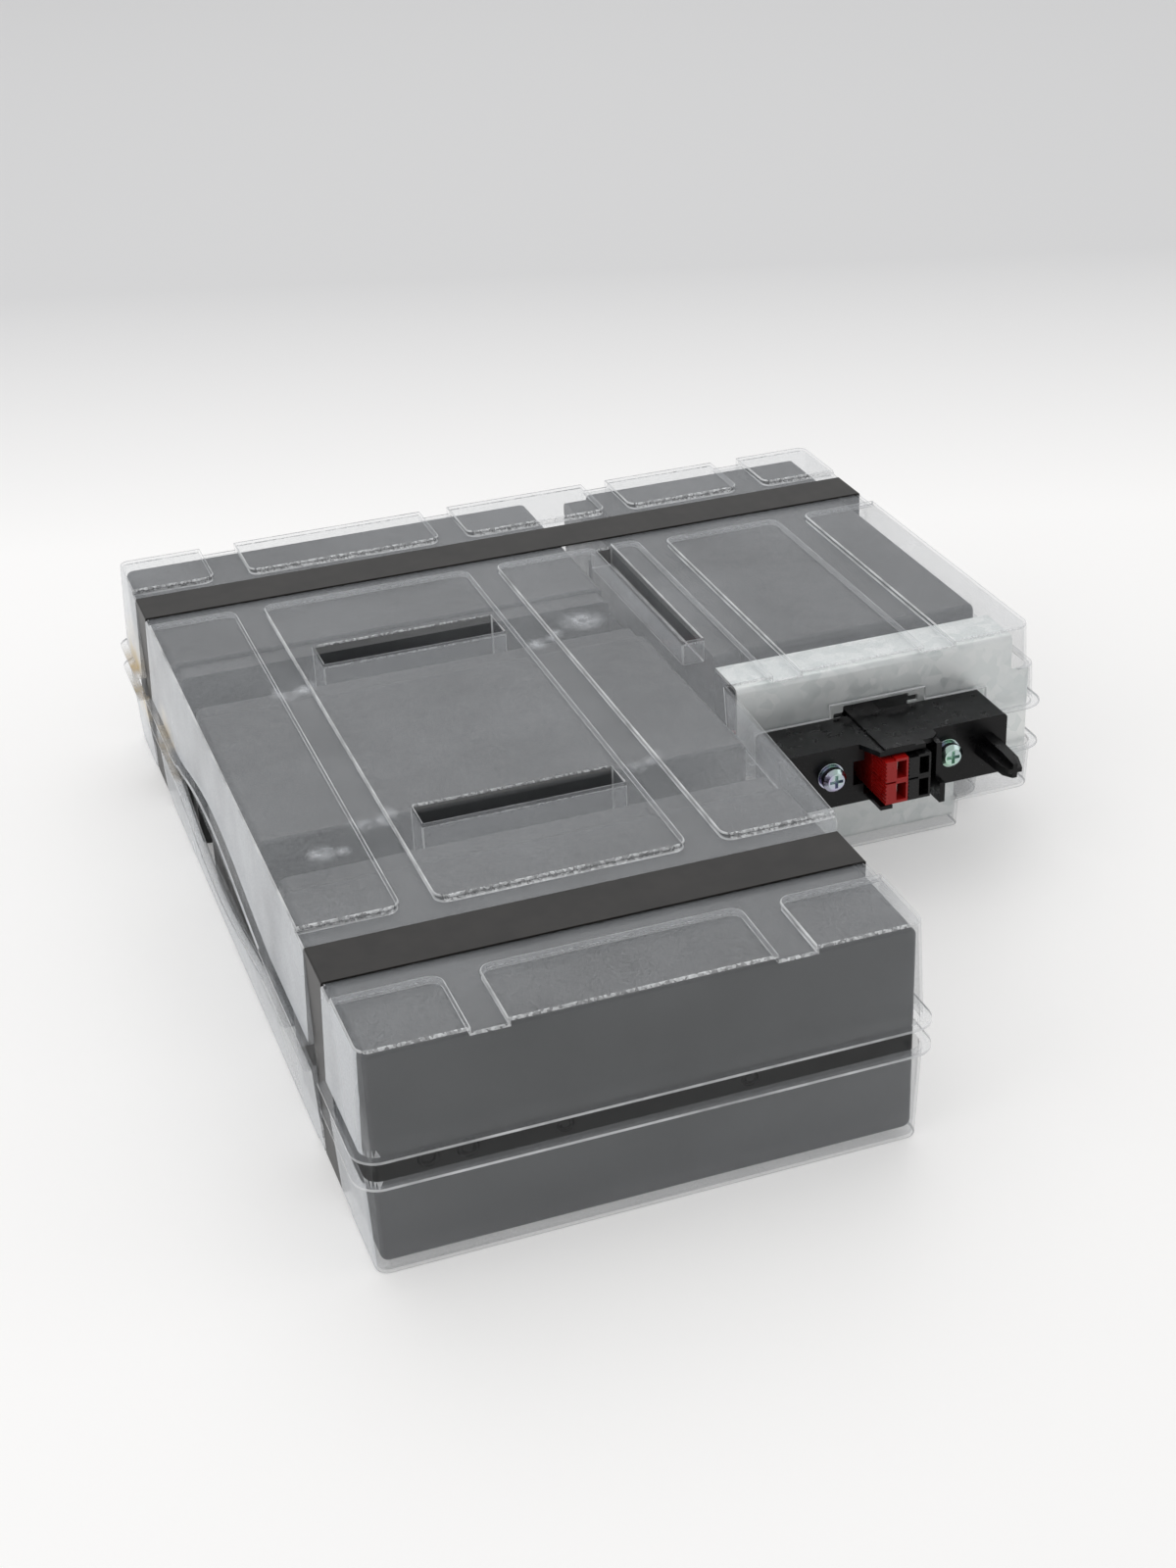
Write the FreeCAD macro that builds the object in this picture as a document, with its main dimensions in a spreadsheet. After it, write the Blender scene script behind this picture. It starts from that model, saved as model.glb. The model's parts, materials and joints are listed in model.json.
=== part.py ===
import FreeCAD, Part

import math
import operator
import os
from types import SimpleNamespace

import Sketcher
from FreeCAD import Rotation, Vector

# Battery cartridge: four sealed batteries between two clear thermoformed shells, held by two straps,
# with a folded steel bracket that carries the blind-mate connector plate in the notch of the L.
# Plan positions are measured from the left wall (X) and the near wall (Y) at the rims of the shells.
SIZES = {
    # outline of the shells at their rims
    "overall_width": 273.3, "main_width": 271.5, "leg_width": 157.0, "flare_start": 56.0,
    "shoulder_end": 62.0, "shoulder_width": 160.0, "flare_width": 162.8, "depth": 333.0,
    "height": 69.5, "notch_wall": 149.0, "ledge_end": 262.0,
    "corner_radius": 5.0, "notch_radius": 6.0,
    # clear sheet
    "film": 0.8, "draft_angle": 2.6, "panel_rise": 1.6, "panel_radius": 4.0,
    "lip_reach": 2.3, "top_rim": 37.7, "base_rim": 30.2, "bay_top_rim": 40.6, "bay_base_rim": 26.2,
    "bay_start": 168.0, "top_ledge": 55.0, "base_ledge": 9.6, "base_inner_width": 265.0,
    "relief_start": 247.0, "relief_depth": 166.0, "relief_radius": 2.5, "outside": 6.0,
    # raised panels and the channels between them
    "front_row_end": 28.3, "middle_row_start": 63.9, "middle_row_end": 272.9, "rear_row_start": 303.9,
    "left_column_end": 31.0, "centre_column_start": 40.4, "centre_column_end": 114.0,
    "right_column_start": 124.3, "side_panel_end": 177.9, "broad_panel_start": 187.2,
    "broad_panel_end": 231.0, "end_panel_start": 241.4, "side_rows_end": 270.0, "rear_shift": 3.0,
    # ribs pressed down between the batteries
    "rib_start": 49.0, "rib_end": 110.0, "front_rib_start": 104.9, "front_rib_width": 10.8,
    "rear_rib_start": 218.5, "rear_rib_width": 14.4, "rib_depth": 18.0,
    "groove_start": 161.5, "groove_end": 167.8, "groove_near": 186.4, "groove_depth": 8.0,
    "rear_recess_face": 328.9,
    # straps
    "strap_width": 18.0, "strap_gauge": 0.6, "front_strap_start": 37.2, "rear_strap_start": 280.6,
    "strap_seat": 2.1, "strap_margin": 0.4,
    # sealed batteries
    "battery_length": 151.0, "battery_thickness": 64.5, "case_height": 85.0, "lid_height": 9.0,
    "battery_clearance": 0.1, "battery_left": 3.0, "first_battery_base": 3.0,
    "second_battery_base": 116.6, "third_battery_base": 328.0, "side_battery_base": 262.75,
    "side_battery_start": 176.5, "case_radius": 2.5, "tab_width": 6.35, "tab_gauge": 0.8,
    "tab_length": 6.2, "tab_inset": 12.0, "tab_height": 24.0, "lid_ledge": 1.2,
    "well_width": 13.0, "well_height": 15.0, "well_depth": 3.0,
    "vent_length": 96.0, "vent_low": 36.0, "vent_height": 14.0, "vent_depth": 0.8,
    # folded steel bracket
    "steel": 1.2, "bend_radius": 2.0, "bracket_face": 151.5, "bracket_left": 165.5,
    "bracket_right": 269.9, "bracket_upper_right": 263.4, "bracket_lower_right": 243.9,
    "bracket_bottom": 3.2, "bracket_top": 66.6, "bracket_step_low": 17.8, "bracket_step_high": 53.9,
    "top_flange": 17.5, "bottom_flange": 12.0,
    "window_left": 202.6, "window_right": 225.9, "window_bottom": 30.0, "window_top": 53.2,
    "window_radius": 0.5, "notch_reach": 3.4, "notch_height": 2.2, "left_notch": 48.8,
    "right_notch": 50.0,
    # connector plate and its hardware
    "plate_centre": 211.9, "plate_level": 38.9, "plate_width": 80.0, "plate_height": 21.0,
    "plate_depth": 19.3, "plate_wall": 2.3, "plate_skirt": 2.0, "plate_radius": 1.5,
    "screw_spacing": 41.0, "screw_shift": -2.2, "screw_rise": 1.4, "screw_hole": 4.3,
    "boss_diameter": 11.6, "block_window": 16.0, "block_play": 2.8, "latch_reach": 6.6,
    "latch_low": -4.0, "latch_high": 4.5,
    "hood_reach": 7.7, "hood_gauge": 1.7, "hood_flare": 5.0, "hood_lip": 1.2, "hood_step": 2.4,
    "ridge_left": -7.4, "ridge_right": 3.3, "ridge_rise": 0.7, "ridge_tail": 6.0,
    "cheek_gap": 2.7, "cheek_gauge": 1.9, "cheek_low": -9.2, "rail_gap": 3.7, "rail_gauge": 1.5,
    "rail_low": -4.6, "rail_high": 1.6, "guide_reach": 10.7, "guide_low": -10.4, "guide_high": -3.4,
    "sill_reach": 9.1, "sill_low": -9.8, "sill_high": -8.5, "root": 0.5,
    "pin_offset": 33.2, "pin_size": 9.0, "pin_rib": 3.6, "pin_length": 13.0, "pin_tip": 5.4,
    "pin_tip_size": 5.0,
    "housing": 7.9, "housing_length": 24.6, "housing_reach": 9.6, "socket_width": 3.3,
    "socket_height": 6.0, "socket_depth": 12.0, "socket_wall": 0.7, "step_drop": 0.6,
    "step_edge": 1.1, "grip_start": 0.8, "grip_width": 0.6, "barrel_bore": 5.6, "barrel": 5.0,
    "contact_gap": 0.5, "blade_offset": 0.7, "blade_gauge": 0.8, "blade_width": 3.8,
    "blade_start": 3.0, "blade_length": 9.5,
    "head_diameter": 8.0, "head_height": 3.0, "screw_thread": 4.0, "washer_diameter": 9.0,
    "washer_gauge": 0.8, "spring_diameter": 7.0, "spring_gauge": 1.1, "spring_gap": 0.8,
    "screw_reach": 24.5,
    # harness
    "wire": 3.0, "receptacle_width": 8.4, "receptacle_depth": 6.6, "receptacle_gauge": 3.2,
    "sleeve": 4.4, "sleeve_length": 6.0, "receptacle_gap": 0.3, "barrel_length": 11.0,
    "step_length": 10.0, "grip_pitch": 1.35, "grip_depth": 0.35,
    "column_line": 157.3, "flare_line": 156.6, "bay_line": 159.0, "bay_pitch": 4.5, "rise_line": 125.0,
    "drop_line": 40.0, "front_level": 33.0, "middle_level": 40.0, "rear_level": 47.0,
    "tight_bend": 7.0, "easy_bend": 60.0,
}

GRIP_COUNT = 5
OPERATIONS = {"+": operator.add, "-": operator.sub, "*": operator.mul, "/": operator.truediv}


class Size:
    """A length that knows its number and the sheet expression that drives it."""

    def __init__(self, value, text):
        self.value = value
        self.text = text

    def __add__(self, other):
        return combine(self, "+", other)

    def __radd__(self, other):
        return combine(other, "+", self)

    def __sub__(self, other):
        return combine(self, "-", other)

    def __rsub__(self, other):
        return combine(other, "-", self)

    def __mul__(self, other):
        return combine(self, "*", other)

    def __rmul__(self, other):
        return combine(other, "*", self)

    def __truediv__(self, other):
        return combine(self, "/", other)

    def __neg__(self):
        return combine(0, "-", self)


def combine(left, sign, right):
    left, right = sized(left), sized(right)
    return Size(OPERATIONS[sign](left.value, right.value), f"({left.text} {sign} {right.text})")


def sized(length):
    return length if isinstance(length, Size) else Size(float(length), f"({length})")


doc = FreeCAD.newDocument("battery_cartridge")
sheet = doc.addObject("Spreadsheet::Sheet", "Sizes")
for row, (alias, number) in enumerate(SIZES.items(), start=1):
    sheet.set(f"A{row}", alias)
    sheet.set(f"B{row}", str(number))
    sheet.setAlias(f"B{row}", alias)
doc.recompute()
size = SimpleNamespace(**{alias: Size(number, f"Sizes.{alias}") for alias, number in SIZES.items()})
slope = Size(math.tan(math.radians(SIZES["draft_angle"])), "tan(Sizes.draft_angle * 1deg)")
nodes = []


# ---- helpers: sketches and features whose sizes follow the sheet -------------------------------

def bind(thing, settings):
    """Sets each property to its number and ties it to its expression."""
    for path, length in settings.items():
        length = sized(length)
        if "." not in path:
            setattr(thing, path, length.value)
        thing.setExpression(path, length.text)


def place(thing, x, y, z, turn=None):
    """Puts a sub-part at a plan position, with the origin of the part at the middle of its footprint."""
    if turn is not None:
        thing.Placement = FreeCAD.Placement(Vector(), turn)
    bind(thing, {
        ".Placement.Base.x": x - size.overall_width / 2,
        ".Placement.Base.y": y - size.depth / 2,
        ".Placement.Base.z": z,
    })


def new_body(name):
    return doc.addObject("PartDesign::Body", name)


def new_sketch(body, role, level=0):
    """A sketch on one of the body's own origin planes, moved along the plane's normal by level."""
    sketch = body.newObject("Sketcher::SketchObject", body.Name + "_sketch")
    plane = next(item for item in body.Origin.OriginFeatures if item.Role == role)
    sketch.AttachmentSupport = (plane, [""])
    sketch.MapMode = "FlatFace"
    bind(sketch, {".AttachmentOffset.Base.z": level})
    return sketch


class Drawing:
    """Collects outlines and their dimensions, and adds them to a sketch together."""

    def __init__(self, sketch):
        self.sketch = sketch
        self.edges = []
        self.constraints = []
        self.texts = {}

    def add_edge(self, edge):
        self.edges.append(edge)
        return len(self.edges) - 1

    def tie(self, *parts):
        self.constraints.append(Sketcher.Constraint(*parts))

    def measure(self, length, kind, *parts):
        """A driving dimension that follows its expression."""
        length = sized(length)
        self.texts[len(self.constraints)] = length.text
        self.constraints.append(Sketcher.Constraint(kind, *parts, length.value))

    def pin_point(self, edge, end, x=None, y=None):
        """Dimensions one end of an edge from the sketch's origin."""
        for kind, length in (("DistanceX", x), ("DistanceY", y)):
            if length is not None:
                self.measure(length, kind, -1, 1, edge, end)

    def polygon(self, points):
        """A closed outline with sharp corners, each dimensioned from the origin."""
        points = [(sized(x), sized(y)) for x, y in points]
        places = [Vector(x.value, y.value, 0) for x, y in points]
        lines = [self.add_edge(Part.LineSegment(place, after))
                 for place, after in zip(places, places[1:] + places[:1])]
        for line, after, point in zip(lines, lines[1:] + lines[:1], points):
            self.tie("Coincident", line, 2, after, 1)
            self.pin_point(line, 1, *point)

    def circle(self, x, y, diameter):
        x, y, diameter = sized(x), sized(y), sized(diameter)
        centre = Vector(x.value, y.value, 0)
        ring = self.add_edge(Part.Circle(centre, Vector(0, 0, 1), diameter.value / 2))
        self.pin_point(ring, 3, x, y)
        self.measure(diameter, "Diameter", ring)

    def rounded(self, corners):
        """A closed outline of (x, y, radius) corners. Edges run along X or Y, apart from those
        between two corners of no radius, which may slant."""
        corners = [tuple(sized(part) for part in corner) for corner in corners]
        count = len(corners)
        points = [Vector(x.value, y.value, 0) for x, y, radius in corners]
        lines = []
        for index in range(count):
            after = (index + 1) % count
            along = (points[after] - points[index]).normalize()
            start = points[index] + along * corners[index][2].value
            end = points[after] - along * corners[after][2].value
            lines.append(self.add_edge(Part.LineSegment(start, end)))
        for index in range(count):
            self.round_corner(points, corners[index][2], lines, index)
        for index in range(count):
            x, y = corners[index][:2]
            run = points[(index + 1) % count] - points[index]
            if abs(run.x) < 1e-6:
                self.tie("Vertical", lines[index])
                self.pin_point(lines[index], 1, x=x)
            elif abs(run.y) < 1e-6:
                self.tie("Horizontal", lines[index])
                self.pin_point(lines[index], 1, y=y)
            else:
                self.pin_slant(lines[index], points, corners, index)

    def round_corner(self, points, radius, lines, index):
        before = (index - 1) % len(points)
        if radius.value == 0:
            self.tie("Coincident", lines[before], 2, lines[index], 1)
            return
        inward = (points[before] - points[index]).normalize()
        onward = (points[(index + 1) % len(points)] - points[index]).normalize()
        start = points[index] + inward * radius.value
        end = points[index] + onward * radius.value
        middle = points[index] + (inward + onward) * radius.value * (1 - math.sqrt(0.5))
        arc = self.add_edge(Part.Arc(start, middle, end))
        anticlockwise = inward.cross(onward).z < 0
        first_end, last_end = (1, 2) if anticlockwise else (2, 1)
        self.tie("Tangent", lines[before], 2, arc, first_end)
        self.tie("Tangent", lines[index], 1, arc, last_end)
        self.measure(radius, "Radius", arc)

    def pin_slant(self, line, points, corners, index):
        """Dimensions a slanting edge by what its two neighbours leave free. Where two slanting edges
        meet, the first of them holds both dimensions of the corner."""
        count = len(points)
        after = (index + 1) % count
        neighbours = ((index, points[index] - points[index - 1], 1),
                      (after, points[(after + 1) % count] - points[after], 2))
        for corner, run, end in neighbours:
            x, y = corners[corner][:2]
            if abs(run.x) < 1e-6:
                self.pin_point(line, end, y=y)
            elif abs(run.y) < 1e-6:
                self.pin_point(line, end, x=x)
            elif end == 2:
                self.pin_point(line, end, x=x, y=y)

    def finish(self):
        self.sketch.addGeometry(self.edges)
        self.sketch.addConstraint(self.constraints)
        for index, text in self.texts.items():
            self.sketch.setExpression(f"Constraints[{index}]", text)


def rounded(sketch, *outlines):
    drawing = Drawing(sketch)
    for corners in outlines:
        drawing.rounded(corners)
    drawing.finish()


def polygon(sketch, points):
    drawing = Drawing(sketch)
    drawing.polygon(points)
    drawing.finish()


def circles(sketch, *rings):
    drawing = Drawing(sketch)
    for ring in rings:
        drawing.circle(*ring)
    drawing.finish()


def octagon(x, y, across):
    """Eight corners round a centre, for the plain hidden pieces that need no true circle."""
    flat = across * (math.tan(math.pi / 8) / 2)
    half = across / 2
    return [(x + half, y - flat), (x + half, y + flat), (x + flat, y + half), (x - flat, y + half),
            (x - half, y + flat), (x - half, y - flat), (x - flat, y - half), (x + flat, y - half)]


def box_corners(x_low, y_low, x_high, y_high, radius=0):
    return [(x_low, y_low, radius), (x_high, y_low, radius),
            (x_high, y_high, radius), (x_low, y_high, radius)]


def pad(body, sketch, length, taper=None, backwards=False):
    feature = body.newObject("PartDesign::Pad", body.Name + "_pad")
    feature.Profile = sketch
    feature.Reversed = backwards
    bind(feature, {"Length": length})
    if taper is not None:
        bind(feature, {"TaperAngle": taper})
    doc.recompute()
    return feature


def pocket(body, sketch, length=None, backwards=False):
    """Cuts the sketch into the body, right through where no length is given."""
    volume = body.Shape.Volume
    feature = body.newObject("PartDesign::Pocket", body.Name + "_pocket")
    feature.Profile = sketch
    feature.Reversed = backwards
    if length is None:
        feature.Type = "ThroughAll"
    else:
        bind(feature, {"Length": length})
    doc.recompute()
    if not body.Shape.Volume < volume - 1e-3:
        raise ValueError(f"{feature.Name} cuts nothing")
    return feature


def slope_edges(body, reach, chosen):
    """Chamfers the edges of the body's last feature that the test picks."""
    base = body.Tip
    names = [f"Edge{number}" for number, edge in enumerate(base.Shape.Edges, start=1) if chosen(edge)]
    feature = body.newObject("PartDesign::Chamfer", body.Name + "_chamfer")
    feature.Base = (base, names)
    bind(feature, {"Size": reach})
    doc.recompute()
    return feature


def joined(kind, name, base, tool):
    """A Part boolean of two objects."""
    result = doc.addObject(kind, name)
    result.Base = base
    result.Tool = tool
    doc.recompute()
    return result


def block(name, x_low, y_low, z_low, x_high, y_high, z_high):
    """A Part::Box between two corners given from the plan's origin."""
    box = doc.addObject("Part::Box", name)
    x_low, y_low, z_low = sized(x_low), sized(y_low), sized(z_low)
    bind(box, {"Length": x_high - x_low, "Width": y_high - y_low, "Height": z_high - z_low})
    place(box, x_low, y_low, z_low)
    return box


def finish(thing, label):
    thing.Label = label
    nodes.append(thing)
    return thing


# ---- clear shells ------------------------------------------------------------------------------

def shell_outline(inset, right, turned, notch_radius, relief=False):
    """The L outline of a shell, drawn in by inset, with its right wall at the given width beside the
    notch. The lower shell is drawn turned over, with Y measured from its rear wall."""
    near, left, rear = 0 + inset, 0 + inset, size.depth - inset
    edge = size.notch_wall + inset
    radius = size.corner_radius - inset
    corners = [
        (left, near, radius),
        (size.leg_width - inset, near, radius),
        (size.leg_width - inset, size.flare_start, 0),
        (size.shoulder_width - inset, size.shoulder_end, 0),
        (size.flare_width - inset, edge, 0),
    ]
    if relief:
        corners += [
            (size.relief_start - inset, edge, size.relief_radius),
            (size.relief_start - inset, size.relief_depth + inset, size.relief_radius),
            (right - inset, size.relief_depth + inset, notch_radius),
        ]
    else:
        corners += [(right - inset, edge, notch_radius - inset)]
    if right.value != size.main_width.value:
        corners += [
            (right - inset, size.ledge_end - inset, 0),
            (size.main_width - inset, size.ledge_end - inset, 0),
        ]
    corners += [(size.main_width - inset, rear, radius), (left, rear, radius)]
    if turned:
        corners = [(x, size.depth - y, corner_radius) for x, y, corner_radius in reversed(corners)]
    return corners


def panel_rows(inset, turned):
    """Plan outlines of the raised panels, in three rows parted by the straps. Panels that meet a wall
    run on past it. The lower shell's panels are broader, so that its walls run on unbroken."""
    low = 0 - size.outside
    right = size.overall_width + size.outside
    rear = size.depth + size.outside
    notch = size.notch_wall - size.outside
    leg = size.leg_width + size.outside
    front, middle, back = size.front_row_end, size.middle_row_start, size.rear_row_start
    near, far = size.middle_row_end, size.side_rows_end
    column = (size.centre_column_start, middle, size.centre_column_end, near)
    if turned:
        front_row = [(low, low, leg, front)]
        middle_row = [(low, middle, size.left_column_end, near), column,
                      (size.broad_panel_start, notch, right, far)]
        rear_row = [(low, back, right, rear)]
    else:
        front_row = [
            (low, low, size.left_column_end, front),
            (size.centre_column_start, low, size.centre_column_end, front),
            (size.right_column_start, low, leg, front),
        ]
        middle_row = [
            (low, middle, size.left_column_end, near), column,
            (size.broad_panel_start, notch, size.broad_panel_end, far),
            (size.end_panel_start, notch, right, far),
        ]
        rear_row = [
            (low, back, size.left_column_end, rear),
            (size.centre_column_start + size.rear_shift, back, size.centre_column_end, rear),
            (size.right_column_start, back, size.side_panel_end, rear),
            (size.broad_panel_start, back, size.broad_panel_end, rear),
            (size.end_panel_start, back, right, rear),
        ]
    rows = [[box_corners(x_low + inset, y_low + inset, x_high - inset, y_high - inset,
                         size.panel_radius - inset) for x_low, y_low, x_high, y_high in row]
            for row in (front_row, middle_row, rear_row)]
    rows[1].append(grooved_panel(inset))
    return rows


def grooved_panel(inset):
    """The panel across the join of leg and side, split from its rear end by the groove."""
    radius = size.panel_radius - inset
    x_low, y_low = size.right_column_start + inset, size.middle_row_start + inset
    x_high, y_high = size.side_panel_end - inset, size.middle_row_end - inset
    left, right, near = size.groove_start - inset, size.groove_end + inset, size.groove_near - inset
    return [(x_low, y_low, radius), (x_high, y_low, radius), (x_high, y_high, radius),
            (right, y_high, 0), (right, near, 0), (left, near, 0),
            (left, y_high, radius), (x_low, y_high, radius)]


def turned_over(corners):
    return [(x, size.depth - y, radius) for x, y, radius in reversed(corners)]


def strap_places():
    """Where each strap starts, and how wide the pack is there."""
    return {"front": (size.front_strap_start, size.leg_width),
            "rear": (size.rear_strap_start, size.main_width)}


def wall_recesses(inset, turned):
    """Plan rectangles cut into the walls: strap seats on both sides, and ribs in the upper shell's
    rear wall, one behind each channel."""
    low = 0 - size.outside
    right = size.overall_width + size.outside
    margin = size.strap_margin + inset
    seat = size.strap_seat + inset
    strips = []
    for start, width in strap_places().values():
        y_low, y_high = start - margin, start + size.strap_width + margin
        strips.append((low, y_low, seat, y_high))
        side = right if width is size.main_width else width + size.outside
        strips.append((width - seat, y_low, side, y_high))
    if turned:
        return [box_corners(*strip) for strip in strips]
    face = size.rear_recess_face - inset
    gaps = [
        (size.left_column_end, size.centre_column_start + size.rear_shift),
        (size.centre_column_end, size.right_column_start),
        (size.side_panel_end, size.broad_panel_start),
        (size.broad_panel_end, size.end_panel_start),
    ]
    strips += [(start - inset, face, end + inset, size.depth + size.outside) for start, end in gaps]
    return [box_corners(*strip) for strip in strips]


def shell_form(name, inset, tall, ledge, crown_right, relief, turned):
    """The solid inside one face of the sheet: the outer face for an inset of 0, the inner face for an
    inset of the sheet's gauge. It stands on the rim plane, with its panels uppermost."""
    body = new_body(name)
    shown = turned_over if turned else list
    shelf = ledge - inset
    skirt = new_sketch(body, "XY_Plane")
    rounded(skirt, shell_outline(0 + sized(inset), size.overall_width, turned, size.notch_radius))
    pad(body, skirt, shelf, taper=-size.draft_angle)
    crown = new_sketch(body, "XY_Plane", shelf)
    drawn_in = inset + slope * shelf
    rounded(crown, shell_outline(drawn_in, crown_right, turned, size.notch_radius + 1, relief))
    pad(body, crown, tall - ledge, taper=-size.draft_angle)
    reach = size.outside * 2
    front_split = (size.front_row_end + size.middle_row_start) / 2
    rear_split = (size.middle_row_end + size.rear_row_start) / 2
    bounds = [0 - reach, front_split, rear_split, size.depth + reach]
    for row, y_low, y_high in zip(panel_rows(inset, turned), bounds, bounds[1:]):
        channels = new_sketch(body, "XY_Plane", tall - inset)
        surround = box_corners(0 - reach, y_low, size.overall_width + reach, y_high)
        rounded(channels, *[shown(corners) for corners in [surround] + row])
        pocket(body, channels, size.panel_rise)
    for start, width in ((size.front_rib_start, size.front_rib_width),
                         (size.rear_rib_start, size.rear_rib_width)):
        ribs = new_sketch(body, "XY_Plane", tall - inset)
        corners = box_corners(size.rib_start - inset, start - inset, size.rib_end + inset,
                              start + width + inset)
        rounded(ribs, shown(corners))
        pocket(body, ribs, size.rib_depth)
    groove = new_sketch(body, "XY_Plane", tall - inset)
    corners = box_corners(size.groove_start - inset, size.groove_near - inset, size.groove_end + inset,
                          size.middle_row_end + inset)
    rounded(groove, shown(corners))
    pocket(body, groove, size.groove_depth)
    recesses = new_sketch(body, "XY_Plane", tall + 1)
    rounded(recesses, *[shown(corners) for corners in wall_recesses(inset, turned)])
    pocket(body, recesses)
    return body


def lip_ring(name, turned, level):
    """The flange that turns outward at the rim, all round the outline."""
    body = new_body(name)
    ring = new_sketch(body, "XY_Plane", level)
    rounded(ring, shell_outline(0 - size.lip_reach, size.overall_width, turned, size.notch_radius),
            shell_outline(size.film / 2, size.overall_width, turned, size.notch_radius))
    pad(body, ring, size.film)
    return body


def make_shell(label, turned):
    """One thermoformed shell: sheet, rolled rim and its cut-outs. The rim stands back further beside
    the connector bay than round the rest of the pack."""
    if turned:
        tall, ledge = size.base_rim, size.base_rim - size.base_ledge
        bay_step = size.base_rim - size.bay_base_rim
        crown_right = size.base_inner_width
        turn = Rotation(Vector(1, 0, 0), 180)
        spot = (0, size.depth, size.base_rim)
    else:
        tall, ledge = size.height - size.top_rim, size.top_ledge - size.top_rim
        bay_step = size.bay_top_rim - size.top_rim
        crown_right = size.main_width
        turn = None
        spot = (0, 0, size.top_rim)
    outer = shell_form(label + "_outer", sized(0), tall, ledge, crown_right, turned, turned)
    inner = shell_form(label + "_inner", size.film, tall, ledge, crown_right, turned, turned)
    for body in (outer, inner):
        place(body, *spot, turn)
    sheet_form = joined("Part::Cut", label + "_sheet", outer, inner)
    rings = []
    for suffix, level in (("_lip", 0), ("_bay_lip", bay_step)):
        ring = lip_ring(label + suffix, turned, level)
        place(ring, *spot, turn)
        rings.append(ring)
    near, far = size.notch_wall - size.outside, size.ledge_end
    right = size.overall_width + size.outside
    low, high = (size.bay_base_rim, size.base_rim + 1) if turned else (size.top_rim - 1, size.bay_top_rim)
    bay = block(label + "_bay", size.bay_start, near, low, right, far, high)
    sheet_form = joined("Part::Cut", label + "_stepped", sheet_form, bay)
    zone = block(label + "_zone", size.bay_start, near, 0, right, far, size.height)
    main_lip = joined("Part::Cut", label + "_main_lip", rings[0], zone)
    bay_lip = joined("Part::Common", label + "_bay_part", rings[1], zone)
    whole = joined("Part::Fuse", label + "_with_lip", sheet_form, main_lip)
    return joined("Part::Fuse", label + "_with_lips", whole, bay_lip)


def cut_shell(label, shell, tools):
    tool = doc.addObject("Part::MultiFuse", label + "_cutters")
    tool.Shapes = tools
    return finish(joined("Part::Cut", label + "_trimmed", shell, tool), label)


def strap_notches(label, low, high):
    """Where the straps cross the rims, the flange is cut back to the wall's own seat."""
    blocks = []
    reach, seat = size.outside, size.strap_seat
    for name, (start, width) in strap_places().items():
        y_low, y_high = start - size.strap_margin, start + size.strap_width + size.strap_margin
        for side, x_low, x_high in (("left", 0 - reach, seat), ("right", width - seat, width + reach)):
            blocks.append(block(f"{label}_{name}_{side}_notch", x_low, y_low, low, x_high, y_high, high))
    return blocks


def make_shells():
    top = make_shell("top_shell", False)
    half = size.plate_width / 2 + 1.2
    edge = size.notch_wall
    face_cut = block("top_shell_plate_cut", size.plate_centre - half, edge - size.outside, size.top_rim - 1,
                     size.plate_centre + half, edge + 5, size.plate_level + size.plate_height / 2 + 0.8)
    window_cut = block("top_shell_window_cut", size.window_left - 5, edge - size.outside, size.plate_level,
                       size.window_right + 5, edge + 5, size.window_top + 1.5)
    cut_shell("top_shell", top, strap_notches("top_shell", size.top_rim - 1, size.top_rim + 3)
              + [face_cut, window_cut])
    base = make_shell("bottom_shell", True)
    cut_shell("bottom_shell", base, strap_notches("bottom_shell", size.base_rim - 3, size.base_rim + 1))


# ---- straps --------------------------------------------------------------------------------------

def make_strap(label, start, width):
    """A flat band drawn tight round the pack, seated on the shells' channels and wall recesses."""
    body = new_body(label)
    sketch = new_sketch(body, "XZ_Plane")
    seat, rise, gauge = size.strap_seat, size.panel_rise, size.strap_gauge
    inside = box_corners(seat, rise, width - seat, size.height - rise)
    outside = box_corners(seat - gauge, rise - gauge, width - seat + gauge, size.height - rise + gauge,
                          gauge)
    rounded(sketch, inside, outside)
    pad(body, sketch, size.strap_width, backwards=True)
    place(body, 0, start, 0)
    finish(body, label)


# ---- batteries -----------------------------------------------------------------------------------

def make_case(label):
    """The moulded container, drawn with its base on the plane Y = 0 and its mouth towards +Y."""
    body = new_body(label)
    sketch = new_sketch(body, "XZ_Plane")
    rounded(sketch, box_corners(0, 0, size.battery_length, size.battery_thickness, size.case_radius))
    pad(body, sketch, size.case_height, backwards=True)
    return body


def make_lid(label):
    """The welded cover: a vent strip along the middle and a well round each terminal."""
    body = new_body(label)
    sketch = new_sketch(body, "XZ_Plane", -size.case_height)
    edge = size.lid_ledge
    rounded(sketch, box_corners(edge, edge, size.battery_length - edge, size.battery_thickness - edge,
                                size.case_radius))
    pad(body, sketch, size.lid_height, backwards=True)
    top = size.case_height + size.lid_height
    wells = new_sketch(body, "XZ_Plane", -top)
    half_width, half_height = size.well_width / 2, size.well_height / 2
    centres = (size.tab_inset, size.battery_length - size.tab_inset)
    rounded(wells, *[box_corners(x - half_width, size.tab_height - half_height, x + half_width,
                                 size.tab_height + half_height) for x in centres])
    pocket(body, wells, size.well_depth, backwards=True)
    strip = new_sketch(body, "XZ_Plane", -top)
    middle = size.battery_length / 2
    rounded(strip, box_corners(middle - size.vent_length / 2, size.vent_low, middle + size.vent_length / 2,
                               size.vent_low + size.vent_height))
    pocket(body, strip, size.vent_depth, backwards=True)
    return body


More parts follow.
